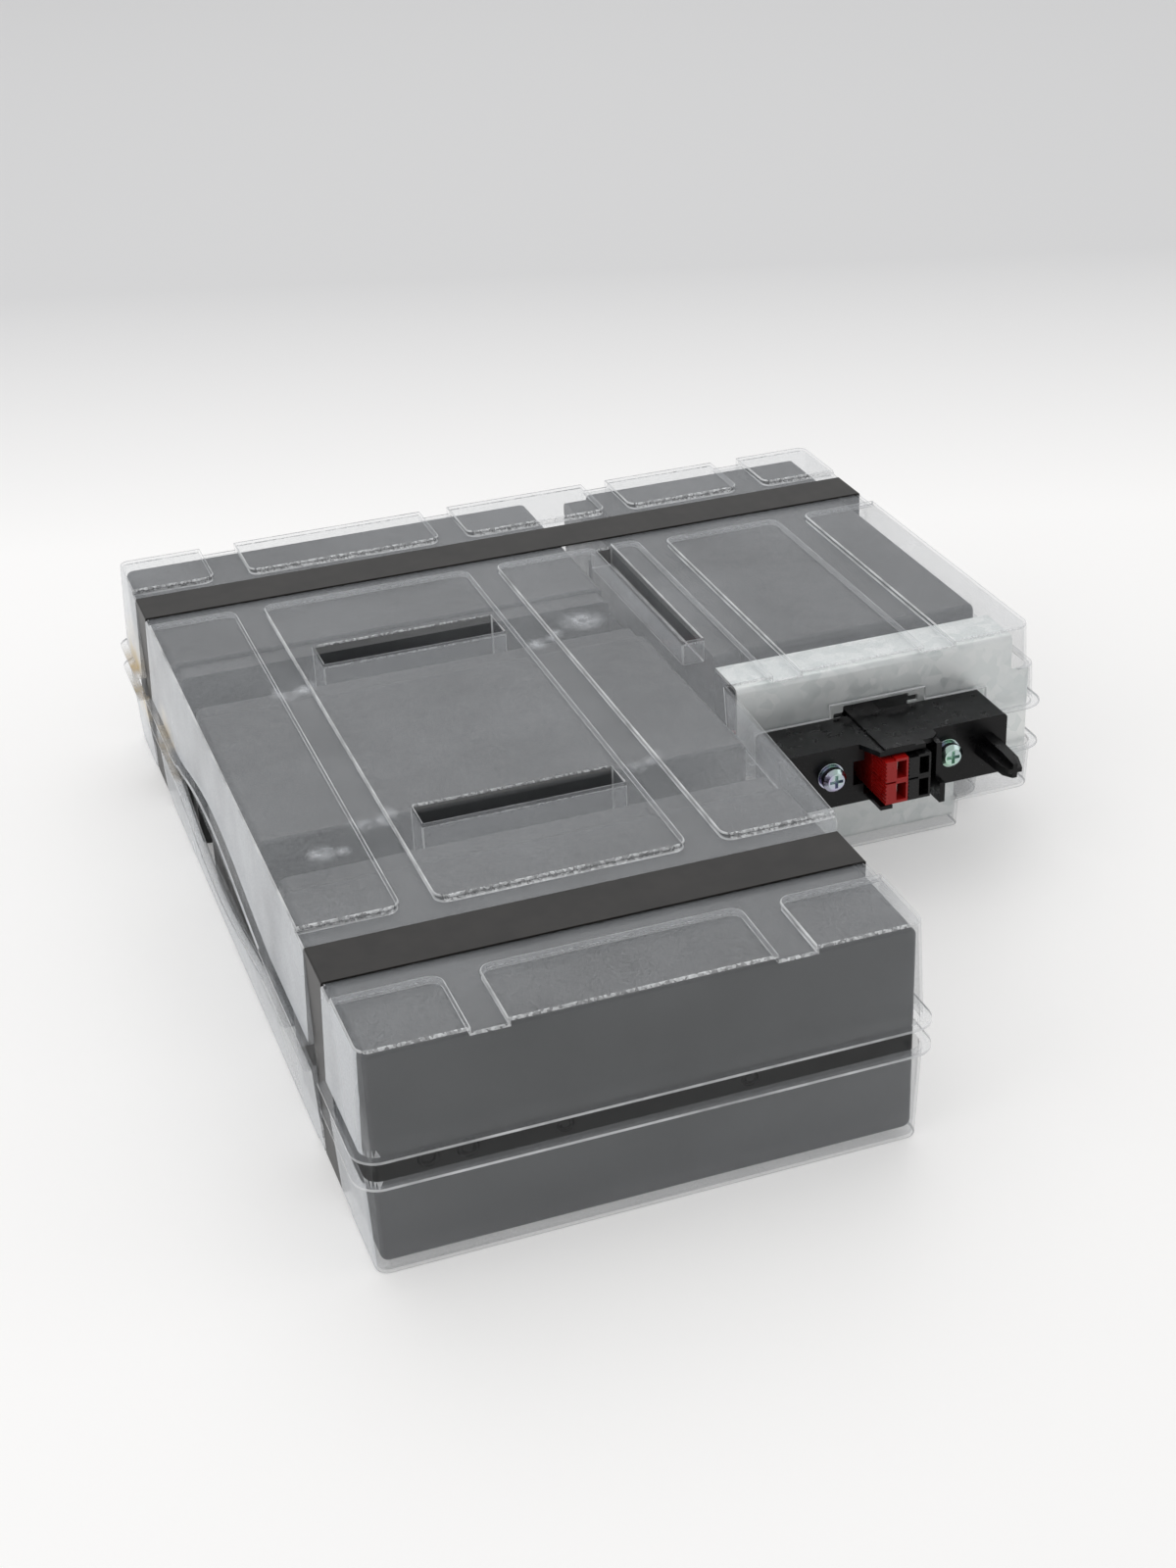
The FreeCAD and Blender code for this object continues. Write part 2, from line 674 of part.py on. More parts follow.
def make_tab(label, x):
    """A flat push-on terminal that stands in its well."""
    body = new_body(label)
    root = size.case_height + size.lid_height - size.well_depth
    sketch = new_sketch(body, "XZ_Plane", -root)
    half = size.tab_width / 2
    low, high = size.tab_height - size.tab_gauge / 2, size.tab_height + size.tab_gauge / 2
    rounded(sketch, box_corners(x - half, low, x + half, high))
    pad(body, sketch, size.tab_length + size.well_depth, backwards=True)
    return body


def make_receptacle(label, x, side):
    """A right-angled push-on receptacle over a tab, its wire sleeve towards the given side."""
    body = new_body(label)
    level = size.case_height + size.lid_height + size.receptacle_gap
    sketch = new_sketch(body, "XZ_Plane", -level)
    half, gauge = size.receptacle_width / 2, size.receptacle_gauge / 2
    rounded(sketch, box_corners(x - half, size.tab_height - gauge, x + half, size.tab_height + gauge))
    pad(body, sketch, size.receptacle_depth, backwards=True)
    slot = new_sketch(body, "XZ_Plane", -level)
    reach, gap = size.tab_width / 2, size.tab_gauge / 2
    rounded(slot, box_corners(x - reach, size.tab_height - gap, x + reach, size.tab_height + gap))
    pocket(body, slot, size.tab_length - size.receptacle_gap)
    sleeve = new_sketch(body, "YZ_Plane", x + half * side)
    polygon(sleeve, octagon(level + size.receptacle_depth / 2, size.tab_height, size.sleeve))
    pad(body, sleeve, size.sleeve_length, backwards=side < 0)
    return body


# name, plan corner of the base, turn about +Z, side of each sleeve: negative tab then positive tab
BATTERIES = [
    ("front_battery", size.battery_left, size.first_battery_base, 0, (1, 1)),
    ("middle_battery", size.battery_left, size.second_battery_base, 0, (1, 1)),
    ("rear_battery", size.battery_left + size.battery_length, size.third_battery_base, 180, (-1, -1)),
    ("side_battery", size.side_battery_base, size.side_battery_start, 90, (-1, -1)),
]


def battery_level():
    return size.panel_rise + size.film + size.battery_clearance


def make_batteries():
    for name, x, y, degrees, sides in BATTERIES:
        turn = Rotation(Vector(0, 0, 1), degrees)
        pieces = [(make_case(name + "_case"), "case"), (make_lid(name + "_lid"), "lid")]
        for pole, spot, side in (("negative", size.tab_inset, sides[0]),
                                 ("positive", size.battery_length - size.tab_inset, sides[1])):
            pieces.append((make_tab(f"{name}_{pole}_tab", spot), pole + "_tab"))
            pieces.append((make_receptacle(f"{name}_{pole}_receptacle", spot, side), pole + "_receptacle"))
        for body, part_name in pieces:
            place(body, x, y, battery_level(), turn)
            finish(body, f"{name}_{part_name}")


# ---- folded bracket ------------------------------------------------------------------------------

def make_bracket():
    """Galvanised sheet folded back at the top and the bottom, with its end stepped to suit the shells."""
    body = new_body("mounting_bracket")
    profile = new_sketch(body, "YZ_Plane", size.bracket_left)
    gauge, face = size.steel, size.bracket_face
    top, bottom = size.bracket_top, size.bracket_bottom
    outer, inner = size.bend_radius, size.bend_radius - gauge
    rounded(profile, [
        (face, bottom, outer), (face + size.bottom_flange, bottom, 0),
        (face + size.bottom_flange, bottom + gauge, 0), (face + gauge, bottom + gauge, inner),
        (face + gauge, top - gauge, inner), (face + size.top_flange, top - gauge, 0),
        (face + size.top_flange, top, 0), (face, top, outer),
    ])
    pad(body, profile, size.bracket_right - size.bracket_left)
    level = -size.bracket_face + 1
    trims = new_sketch(body, "XZ_Plane", level)
    beyond = size.bracket_right + 1
    rounded(trims,
            [(size.bracket_lower_right, bottom - 1, 0), (beyond, bottom - 1, 0),
             (beyond, size.bracket_step_low, 0), (size.bracket_lower_right, size.bracket_step_low, 1.0)],
            [(size.bracket_upper_right, size.bracket_step_high, 1.0), (beyond, size.bracket_step_high, 0),
             (beyond, top + 1, 0), (size.bracket_upper_right, top + 1, 0)])
    pocket(body, trims)
    openings = new_sketch(body, "XZ_Plane", level)
    left, right, low, high = size.window_left, size.window_right, size.window_bottom, size.window_top
    reach, tall, radius = size.notch_reach, size.notch_height, size.window_radius
    rounded(openings, [
        (left, low, radius), (right, low, radius),
        (right, size.right_notch, radius), (right + reach, size.right_notch, radius),
        (right + reach, size.right_notch + tall, radius), (right, size.right_notch + tall, 0),
        (right, high, 0), (left, high, radius),
        (left, size.left_notch + tall, radius), (left - reach, size.left_notch + tall, radius),
        (left - reach, size.left_notch, radius), (left, size.left_notch, radius),
    ])
    pocket(body, openings)
    holes = new_sketch(body, "XZ_Plane", level)
    circles(holes, *[(size.plate_centre + screw_offset(side), size.plate_level + size.screw_rise,
                      size.screw_thread) for side in (-1, 1)])
    pocket(body, holes)
    place(body, 0, 0, 0)
    finish(body, "mounting_bracket")


# ---- connector plate and its hardware ----------------------------------------------------------

def screw_offset(side):
    """How far a plate screw stands to the side of the connectors' centre."""
    return size.screw_shift + size.screw_spacing * side / 2


def cross_outline(reach, rib):
    """A cross of two equal ribs, as a closed outline round the pin's centre."""
    half = rib / 2
    points = [(-reach, -half), (-half, -half), (-half, -reach), (half, -reach), (half, -half),
              (reach, -half), (reach, half), (half, half), (half, reach), (-half, reach),
              (-half, half), (-reach, half)]
    return [(size.pin_offset + across, up) for across, up in points]


def make_plate():
    """The moulded plate: a hollow block with screw bosses, a hood over the connectors, a key and a
    tapered cross-shaped guide pin. Drawn from its rear face, forward along -Y."""
    body = new_body("connector_plate")
    depth, front = size.plate_depth, size.plate_depth - size.plate_wall
    half_width, half_height = size.plate_width / 2, size.plate_height / 2
    face = new_sketch(body, "XZ_Plane")
    rounded(face, box_corners(-half_width, -half_height, half_width, half_height, size.plate_radius))
    pad(body, face, depth)
    inner, low = half_width - size.plate_skirt, half_height - size.plate_skirt
    boss = size.boss_diameter / 2
    left_screw, right_screw = screw_offset(-1), screw_offset(1)
    hollows = new_sketch(body, "XZ_Plane")
    rounded(hollows,
            box_corners(-inner, -low, left_screw - boss, low, 1.0),
            box_corners(left_screw + boss, -low, right_screw - boss, low, 1.0),
            box_corners(right_screw + boss, -low, inner, low, 1.0))
    pocket(body, hollows, front, backwards=True)
    window = new_sketch(body, "XZ_Plane", depth)
    half_block = size.block_window / 2
    left, latch = -half_block - size.block_play, -half_block - size.latch_reach
    rounded(window, [
        (left, -half_block, 0), (half_block, -half_block, 0), (half_block, half_block, 0),
        (left, half_block, 0), (left, size.latch_high, 0), (latch, size.latch_high, 0),
        (latch, size.latch_low, 0), (left, size.latch_low, 0),
    ])
    pocket(body, window, size.plate_wall + 1)
    holes = new_sketch(body, "XZ_Plane", depth)
    circles(holes, *[(offset, size.screw_rise, size.screw_hole) for offset in (left_screw, right_screw)])
    pocket(body, holes)
    add_hood(body, depth, half_block, half_height)
    add_walls(body, depth, half_block, half_height)
    add_guide_pin(body, depth)
    place(body, size.plate_centre, size.bracket_face, size.plate_level)
    finish(body, "connector_plate")


def add_hood(body, depth, half_block, half_height):
    """The eave over the connectors, with a raised ridge that runs back through the bracket."""
    root, front = size.root - depth, -depth - size.hood_reach
    right = half_block + size.hood_flare
    level = half_height - size.hood_gauge
    hood = new_sketch(body, "XY_Plane", level)
    polygon(hood, [(-half_block - size.hood_flare, root), (-half_block - size.hood_lip, front),
                   (half_block - size.hood_lip, front), (half_block - size.hood_lip, front + size.hood_step),
                   (half_block + size.hood_step, front + size.hood_step),
                   (right, front + size.hood_step * 2), (right, root)])
    pad(body, hood, size.hood_gauge)
    ridge = new_sketch(body, "XY_Plane", level)
    rounded(ridge, box_corners(size.ridge_left, front, size.ridge_right, size.ridge_tail))
    pad(body, ridge, size.hood_gauge + size.ridge_rise)


def add_walls(body, depth, half_block, half_height):
    """Walls forward of the plate: the cheek beside the connectors, the rail along it, the guide
    below, and the sill under the left-hand column."""
    cheek = half_block + size.cheek_gap
    rail = half_block + size.rail_gap
    for x_low, z_low, x_high, z_high, length in (
            (cheek, size.cheek_low, cheek + size.cheek_gauge, half_height - 1, size.hood_reach),
            (rail, size.rail_low, rail + size.rail_gauge, size.rail_high, size.hood_reach),
            (cheek, size.guide_low, cheek + size.cheek_gauge, size.guide_high, size.guide_reach),
            (-half_block - size.hood_lip, size.sill_low, -half_block + 3, size.sill_high,
             size.sill_reach)):
        wall = new_sketch(body, "XZ_Plane", depth - size.root)
        rounded(wall, box_corners(x_low, z_low, x_high, z_high))
        pad(body, wall, length + size.root)


def add_guide_pin(body, depth):
    """The blind-mate pin: a cross of two ribs that tapers to a blunt tip."""
    sections = []
    for level, reach, rib in ((depth - size.root, size.pin_size / 2, size.pin_rib),
                              (depth + size.pin_length, size.pin_size / 2 - 0.5, size.pin_rib - 0.6),
                              (depth + size.pin_length + size.pin_tip, size.pin_tip_size / 2, 1.6)):
        section = new_sketch(body, "XZ_Plane", level)
        polygon(section, cross_outline(reach, sized(rib)))
        sections.append(section)
    pin = body.newObject("PartDesign::AdditiveLoft", "guide_pin")
    pin.Profile = sections[0]
    pin.Sections = sections[1:]
    pin.Ruled = True
    doc.recompute()


def make_housing(label, column, row):
    """A genderless housing: a solid tongue beside an open socket, ribbed for grip, bored at the rear."""
    body = new_body(label)
    side, length = size.housing, size.housing_length
    outline = new_sketch(body, "XZ_Plane")
    rounded(outline, box_corners(0, 0, side, side))
    pad(body, outline, length, backwards=True)
    socket = new_sketch(body, "XZ_Plane")
    middle = side / 2
    outer, half_height = side - size.socket_wall, size.socket_height / 2
    rounded(socket, box_corners(outer - size.socket_width, middle - half_height, outer,
                                middle + half_height))
    pocket(body, socket, size.socket_depth)
    step = new_sketch(body, "XZ_Plane")
    rounded(step, box_corners(-1, side - size.step_drop, side - size.step_edge - size.socket_width,
                              side + 1))
    pocket(body, step, size.step_length)
    grips = new_sketch(body, "XZ_Plane")
    starts = [size.grip_start + size.grip_pitch * count for count in range(GRIP_COUNT)]
    rounded(grips, *[box_corners(-1, start, size.grip_depth, start + size.grip_width)
                     for start in starts])
    pocket(body, grips, size.step_length)
    bore = new_sketch(body, "XZ_Plane", -length)
    circles(bore, (middle, middle, size.barrel_bore))
    pocket(body, bore, length - size.socket_depth, backwards=True)
    place(body, *housing_corner(column, row))
    finish(body, label)


def housing_corner(column, row):
    """Plan position and height of a housing's near, left, lower corner in the two by two block."""
    return (size.plate_centre + size.housing * (column - 1),
            size.bracket_face - size.plate_depth - size.housing_reach,
            size.plate_level + size.housing * (row - 1))


def make_contact(label, column, row):
    """A silver-plated contact: a blade in the socket and a crimped barrel in the rear bore."""
    body = new_body(label)
    middle = size.housing / 2
    blade = new_sketch(body, "XZ_Plane", -size.blade_start)
    inner, half_width = middle + size.blade_offset, size.blade_width / 2
    rounded(blade, box_corners(inner, middle - half_width, inner + size.blade_gauge, middle + half_width))
    pad(body, blade, size.blade_length, backwards=True)
    barrel = new_sketch(body, "XZ_Plane", -size.socket_depth - size.contact_gap)
    circles(barrel, (middle, middle, size.barrel))
    pad(body, barrel, size.barrel_length, backwards=True)
    place(body, *housing_corner(column, row))
    finish(body, label)


def make_screw(label, side):
    """A pan-head screw with a cross recess, drawn upright with the underside of its head at zero."""
    body = new_body(label)
    head = new_sketch(body, "XY_Plane")
    circles(head, (0, 0, size.head_diameter))
    pad(body, head, size.head_height)
    slope_edges(body, size.head_height * 0.4,
                lambda edge: edge.isClosed() and edge.BoundBox.ZMin > SIZES["head_height"] / 2)
    recess = new_sketch(body, "XY_Plane", size.head_height)
    arm, half = size.head_diameter * 0.28, size.head_diameter * 0.065
    polygon(recess, [(-arm, -half), (-half, -half), (-half, -arm), (half, -arm), (half, -half), (arm, -half),
                     (arm, half), (half, half), (half, arm), (-half, arm), (-half, half), (-arm, half)])
    pocket(body, recess, size.head_height * 0.6)
    shank = new_sketch(body, "XY_Plane")
    circles(shank, (0, 0, size.screw_thread))
    pad(body, shank, size.screw_reach, backwards=True)
    stand_on_plate(body, side, size.washer_gauge + size.spring_gauge)
    finish(body, label)


def stand_on_plate(body, side, gap):
    """Lays a part drawn upright along -Y, on the screw's line, that far in front of the plate."""
    x = size.plate_centre + screw_offset(side)
    y = size.bracket_face - size.plate_depth - gap
    place(body, x, y, size.plate_level + size.screw_rise, Rotation(Vector(1, 0, 0), 90))


def make_washer(label, side, diameter, gauge, gap, split=None):
    body = new_body(label)
    ring = new_sketch(body, "XY_Plane")
    circles(ring, (0, 0, diameter), (0, 0, size.screw_hole))
    pad(body, ring, gauge)
    if split is not None:
        slit = new_sketch(body, "XY_Plane")
        rounded(slit, box_corners(0, -split / 2, diameter, split / 2))
        pocket(body, slit, gauge, backwards=True)
    stand_on_plate(body, side, gap)
    finish(body, label)


def make_connectors():
    make_plate()
    for row, height in enumerate(("lower", "upper")):
        for column, colour in enumerate(("red", "black")):
            make_housing(f"{colour}_housing_{height}", column, row)
            make_contact(f"{colour}_contact_{height}", column, row)
    for side, name in ((-1, "left"), (1, "right")):
        make_screw(f"plate_screw_{name}", side)
        make_washer(f"spring_washer_{name}", side, size.spring_diameter, size.spring_gauge,
                    size.washer_gauge, size.spring_gap)
        make_washer(f"flat_washer_{name}", side, size.washer_diameter, size.washer_gauge, 0)


# ---- harness -------------------------------------------------------------------------------------

def sleeve_end(name, pole):
    """Where the sleeve of a battery's receptacle takes its wire."""
    x, y, degrees, sides = next(row[1:] for row in BATTERIES if row[0] == name)
    negative = pole == "negative"
    spot = size.tab_inset if negative else size.battery_length - size.tab_inset
    side = sides[0] if negative else sides[1]
    reach = size.receptacle_width / 2 + size.sleeve_length
    top = size.case_height + size.lid_height + size.receptacle_gap + size.receptacle_depth / 2
    local = Vector((spot + reach * side).value, top.value, size.tab_height.value)
    base = Vector(x.value, y.value, battery_level().value)
    return Rotation(Vector(0, 0, 1), degrees).multVec(local) + base


def barrel_end(column, row):
    """Where a contact's barrel takes its wire."""
    x, y, z = housing_corner(column, row)
    middle = size.housing / 2
    depth = size.socket_depth + size.contact_gap + size.barrel_length
    return Vector((x + middle).value, (y + depth).value, (z + middle).value)


def lead_routes():
    """Corner points of each wire: the plate's four wires turn behind the bracket, run to the gap
    beside the side battery, and part there; a jumper joins the two batteries of each string."""
    column, flare = SIZES["column_line"], SIZES["flare_line"]
    rise, drop = SIZES["rise_line"], SIZES["drop_line"]
    front, middle, rear = SIZES["front_level"], SIZES["middle_level"], SIZES["rear_level"]
    lines = [SIZES["bay_line"] + SIZES["bay_pitch"] * step for step in range(4)]
    ends = {(row[0], pole): sleeve_end(row[0], pole) for row in BATTERIES
            for pole in ("negative", "positive")}
    level = ends["front_battery", "negative"].z

    def from_plate(lead_column, lead_row, line):
        start = barrel_end(lead_column, lead_row)
        return [start, Vector(start.x, line, start.z)]

    first = ends["front_battery", "positive"]
    second = ends["middle_battery", "negative"]
    third = ends["rear_battery", "positive"]
    fourth = ends["side_battery", "negative"]
    front_start, front_end = ends["front_battery", "negative"], ends["middle_battery", "positive"]
    rear_start, rear_end = ends["rear_battery", "negative"], ends["side_battery", "positive"]
    return {
        "red_lead_upper": from_plate(0, 1, lines[0]) + [
            Vector(column, lines[0], level), Vector(flare, first.y, level), first],
        "black_lead_upper": from_plate(1, 1, lines[2]) + [
            Vector(column, lines[2], middle), Vector(column, second.y, middle),
            Vector(rise, second.y, middle), Vector(drop, second.y, level), second],
        "red_lead_lower": from_plate(0, 0, lines[1]) + [
            Vector(column, lines[1], rear), Vector(column, third.y, rear),
            Vector(rise, third.y, rear), Vector(drop, third.y, level), third],
        "black_lead_lower": from_plate(1, 0, lines[3]) + [Vector(fourth.x, lines[3], level), fourth],
        "front_jumper": [
            front_start, Vector(drop, front_start.y, level), Vector(rise, front_start.y, front),
            Vector(flare, front_start.y, front), Vector(column, lines[0], front),
            Vector(column, front_end.y - 24, front), Vector(column, front_end.y - 10, level),
            Vector(column, front_end.y, level), front_end],
        "rear_jumper": [
            rear_start, Vector(column, rear_start.y, level), Vector(column, rear_end.y - 26, level),
            Vector(rear_end.x, rear_end.y - 14, level), rear_end],
    }


def make_lead(label, points):
    """A wire along straight runs joined by arcs, each arc as large as its two runs allow."""
    edges = []
    start = points[0]
    for before, corner, after in zip(points, points[1:], points[2:]):
        inward, onward = before - corner, after - corner
        turn = math.pi - inward.getAngle(onward)
        limit = SIZES["tight_bend"] if turn > math.pi / 4 else SIZES["easy_bend"]
        radius = min(0.45 * min(inward.Length, onward.Length) / math.tan(turn / 2), limit)
        trim = radius * math.tan(turn / 2)
        inward.normalize()
        onward.normalize()
        first, last = corner + inward * trim, corner + onward * trim
        middle = corner + (inward + onward).normalize() * (math.hypot(radius, trim) - radius)
        edges.append(Part.LineSegment(start, first).toShape())
        edges.append(Part.Arc(first, middle, last).toShape())
        start = last
    edges.append(Part.LineSegment(start, points[-1]).toShape())
    path = Part.Wire(edges)
    along = (points[1] - points[0]).normalize()
    across = along.cross(Vector(0, 0, 1)) * (SIZES["wire"] / 2)
    ring = [points[0] + Rotation(along, 60 * step).multVec(across) for step in range(7)]
    section = Part.Face(Part.makePolygon(ring))
    shape = path.makePipe(section)
    expected = section.Area * path.Length
    if abs(shape.Volume - expected) > 0.02 * expected:
        raise ValueError(f"{label} has volume {shape.Volume}, not {expected}")
    lead = doc.addObject("Part::Feature", label)
    lead.Shape = shape
    place(lead, 0, 0, 0)
    finish(lead, label)


make_shells()
for strap_name, strap_place in strap_places().items():
    make_strap(strap_name + "_strap", *strap_place)
make_batteries()
make_bracket()
make_connectors()
for lead_name, lead_points in lead_routes().items():
    make_lead(lead_name, lead_points)


def main():
    doc.recompute()
    for thing in doc.Objects:
        if "Invalid" in thing.State or "Error" in thing.State:
            raise RuntimeError(f"{thing.Name} is {thing.State}")
    for thing in nodes:
        if thing.Shape.isNull() or not thing.Shape.isValid():
            raise RuntimeError(f"{thing.Label} has no valid shape")
    os.makedirs("parts", exist_ok=True)
    for thing in nodes:
        thing.Shape.exportStep(f"parts/{thing.Label}.step")
        print(thing.Label, thing.Shape.BoundBox, round(thing.Shape.Volume, 1), len(thing.Shape.Solids))


main()
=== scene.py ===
import json
import math

import bmesh
import bpy
from mathutils import Matrix, Vector


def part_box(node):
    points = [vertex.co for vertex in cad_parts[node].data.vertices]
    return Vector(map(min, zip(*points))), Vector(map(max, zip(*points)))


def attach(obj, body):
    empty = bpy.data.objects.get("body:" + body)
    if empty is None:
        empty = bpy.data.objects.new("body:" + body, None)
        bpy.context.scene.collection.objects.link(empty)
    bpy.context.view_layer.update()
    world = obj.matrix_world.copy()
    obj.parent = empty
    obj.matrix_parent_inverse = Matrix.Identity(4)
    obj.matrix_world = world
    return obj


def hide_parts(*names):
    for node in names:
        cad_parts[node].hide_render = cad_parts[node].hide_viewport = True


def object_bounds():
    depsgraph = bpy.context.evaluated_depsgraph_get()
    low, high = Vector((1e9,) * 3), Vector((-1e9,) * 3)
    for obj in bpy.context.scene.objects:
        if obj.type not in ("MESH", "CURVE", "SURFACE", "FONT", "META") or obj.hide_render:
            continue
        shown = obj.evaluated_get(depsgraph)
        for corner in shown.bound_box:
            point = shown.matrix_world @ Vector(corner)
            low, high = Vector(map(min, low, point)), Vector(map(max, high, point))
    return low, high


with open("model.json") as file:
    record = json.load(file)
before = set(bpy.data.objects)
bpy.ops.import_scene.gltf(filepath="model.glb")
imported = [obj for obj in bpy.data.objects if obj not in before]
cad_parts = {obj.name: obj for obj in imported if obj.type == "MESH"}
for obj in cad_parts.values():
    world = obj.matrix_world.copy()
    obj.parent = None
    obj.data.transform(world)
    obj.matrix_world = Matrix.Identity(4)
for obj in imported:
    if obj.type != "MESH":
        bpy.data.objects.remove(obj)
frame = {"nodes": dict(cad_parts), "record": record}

bl_info = {
    "name": "Battery cartridge dressing",
    "version": (1, 0, 0),
    "blender": (4, 5, 0),
    "location": "View3D > Sidebar > Battery cartridge",
    "description": "Finishes a battery cartridge: clear shells, batteries, straps, bracket, connector",
    "category": "Object",
}

MM = 0.001
NODES = frame["nodes"]
SLOTS = {row["node"]: row["material_slot"] for row in frame["record"]["subparts"]}
CAD_LOW, CAD_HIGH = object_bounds()


# ---- sizes and colours a user would change ------------------------------------------------------

def shade(name, text, value):
    return bpy.props.StringProperty(name=name, description=text, default=value)


def length(name, text, millimetres):
    return bpy.props.FloatProperty(name=name, description=text, default=millimetres * MM, min=0.0,
                                   unit="LENGTH", precision=5)


class CartridgeColours(bpy.types.PropertyGroup):
    film: shade("Film", "Haze of the thermoformed sheet", "#dce0e5")
    # The colour of the painted highlight on the sheet's folds and cut edge, and of its crushed near edges
    # with their painted glints.
    film_edge: shade("Film edge", "Stretched and rubbed edges of the sheet", "#dfe1e3")
    stain: shade("Stain", "Old adhesive between the shells", "#c9a436")
    case: shade("Case", "Moulded battery case", "#0b0c0d")
    strap: shade("Strap", "Woven plastic band", "#13110f")
    zinc: shade("Zinc", "Galvanised steel", "#d8dddc")
    plate: shade("Plate", "Moulded connector plate", "#080809")
    red: shade("Red", "Red connector housing", "#a41513")
    black: shade("Black", "Black connector housing", "#0c0c0d")
    # The floor's near colour. No sweep is built: the far floor is only painted greyer, as painted shade.
    floor: shade("Floor", "Floor and sweep", "#d3d2d1")


class CartridgeSizes(bpy.types.PropertyGroup):
    film_edge: length("Film edge", "Rounding of the sheet's formed edges", 0.5)
    crushed_edge: length("Crushed edge", "Rounding of the near edges, where the sheet is crushed", 0.7)
    case_edge: length("Case edge", "Rounding of a battery case's base edges", 1.2)
    plate_edge: length("Plate edge", "Rounding of the connector plate's edges", 0.35)
    housing_edge: length("Housing edge", "Rounding of a connector housing's edges", 0.2)
    steel_edge: length("Steel edge", "Rounding of the cut steel", 0.15)
    strap_edge: length("Strap edge", "Rounding of the band's edges", 0.2)
    gape: length("Gape", "How far the rims have sprung apart on the left side", 9.5)


# ---- places, all in millimetres from the low corner of the whole object's box --------------------

# Scuffs on the top of the upper shell: x, y, z and radius.
SCUFFS = ((34, 206, 69, 5), (41, 208, 69, 5), (36, 116, 69, 5), (42, 117, 69, 5), (120, 210, 69, 5),
          (127, 212, 69, 4), (120, 117, 69, 4), (126, 119, 69, 4), (139, 218, 70, 9), (20, 102, 70, 5),
          (26, 101, 70, 3))
# Old adhesive that has run out between the rims on the left: x, y, z and radius.
STAINS = ((2, 258, 33, 16), (2, 244, 33, 9), (2, 312, 36, 22), (2, 300, 30, 16))
# Rings left by ejector pins on the near face of the front battery: x, z and radius.
EJECTOR_PINS = ((56.8, 32, 2.6), (108.4, 32, 2.6), (20, 32.4, 3.4), (30.5, 32.4, 3.4))
# The two deep ribs and the groove of the upper shell: their reach along x and along y.
WELLS = (((51, 112.5), (106.9, 118.3)), ((51, 112.5), (220.5, 235.5)), ((163.5, 170.4), (188, 275.5)))
# What lies further than this below the top belongs to a well and not to the panels round it.
WELL_DEPTH = 2.2
# The stretch along y where the left rims have sprung apart.
SPRUNG = (100, 236)
# How far in from the left the left wall reaches.
LEFT_WALL = 9
# How far from the rim the wall still bows, and how many cuts across it let it bend.
BOW_REACH = 16
BOW_CUTS = 17
# How far below the top the edge of a raised panel may lie.
PANEL_DROP = 1.9
# How far from the rim the flange reaches, whose edges stay sharp, and the sheet's cut edge on it.
FLANGE_REACH = 1.2
CUT_EDGE = 1.0
# An edge turns more sharply than this to be rounded, and a smoothed surface turns less than this.
SHARP_ANGLE = math.radians(25)
SMOOTH_ANGLE = math.radians(35)


def corner_place(x, y, z):
    return CAD_LOW[0] + x * MM, CAD_LOW[1] + y * MM, CAD_LOW[2] + z * MM


# ---- materials -----------------------------------------------------------------------------------

def linear(value):
    """sRGB hex to the linear values that Blender's colour sockets take."""
    parts = [int(value[start:start + 2], 16) / 255 for start in (1, 3, 5)]
    return [part / 12.92 if part <= 0.04045 else ((part + 0.055) / 1.055) ** 2.4 for part in parts] + [1.0]


def join(tree, node, links):
    """Links sources to a node's inputs. A source is an output, or a node that stands for its first one."""
    for key, source in links.items():
        output = source if isinstance(source, bpy.types.NodeSocket) else source.outputs[0]
        tree.links.new(output, node.inputs[key])


def add_node(tree, kind, settings, links):
    """Adds a node, sets its properties and sockets, and links its inputs. Inputs 6 and 7 of a Mix node
    are its two colours."""
    node = tree.nodes.new(kind)
    for key, value in settings.items():
        if isinstance(key, int) or key in node.inputs:
            node.inputs[key].default_value = value
        else:
            setattr(node, key, value)
    join(tree, node, links)
    return node


def new_material(name, **sockets):
    """A material with a Principled surface and the given sockets, written with _ for each space; returns
    it, its tree, its shader and Object coordinates."""
    material = bpy.data.materials.new(name)
    material.use_nodes = True
    tree = material.node_tree
    shader = tree.nodes["Principled BSDF"]
    for socket, value in sockets.items():
        shader.inputs[socket.replace("_", " ")].default_value = value
    place = add_node(tree, "ShaderNodeTexCoord", {}, {}).outputs["Object"]
    return material, tree, shader, place


def uneven(tree, place, millimetres, low, high, detail=2.0):
    """A value that wanders between two levels, in patches about that many millimetres across."""
    patches = add_node(tree, "ShaderNodeTexNoise", {"Scale": 1.0 / (millimetres * MM), "Detail": detail},
                       {"Vector": place})
    return add_node(tree, "ShaderNodeMapRange",
                    {"From Min": 0.3, "From Max": 0.7, "To Min": low, "To Max": high}, {"Value": patches})


def soft_spots(tree, place, spots):
    """A pattern that is 1 at the middle of each spot and 0 past its radius."""
    total = None
    for x, y, z, radius in spots:
        distance = add_node(tree, "ShaderNodeVectorMath",
                            {"operation": "DISTANCE", 1: corner_place(x, y, z)}, {0: place}).outputs["Value"]
        spot = add_node(tree, "ShaderNodeMapRange",
                        {"From Min": 0.0, "From Max": radius * MM, "To Min": 1.0, "To Max": 0.0},
                        {"Value": distance})
        if total is not None:
            spot = add_node(tree, "ShaderNodeMath", {"operation": "MAXIMUM"}, {0: total, 1: spot})
        total = spot
    return total


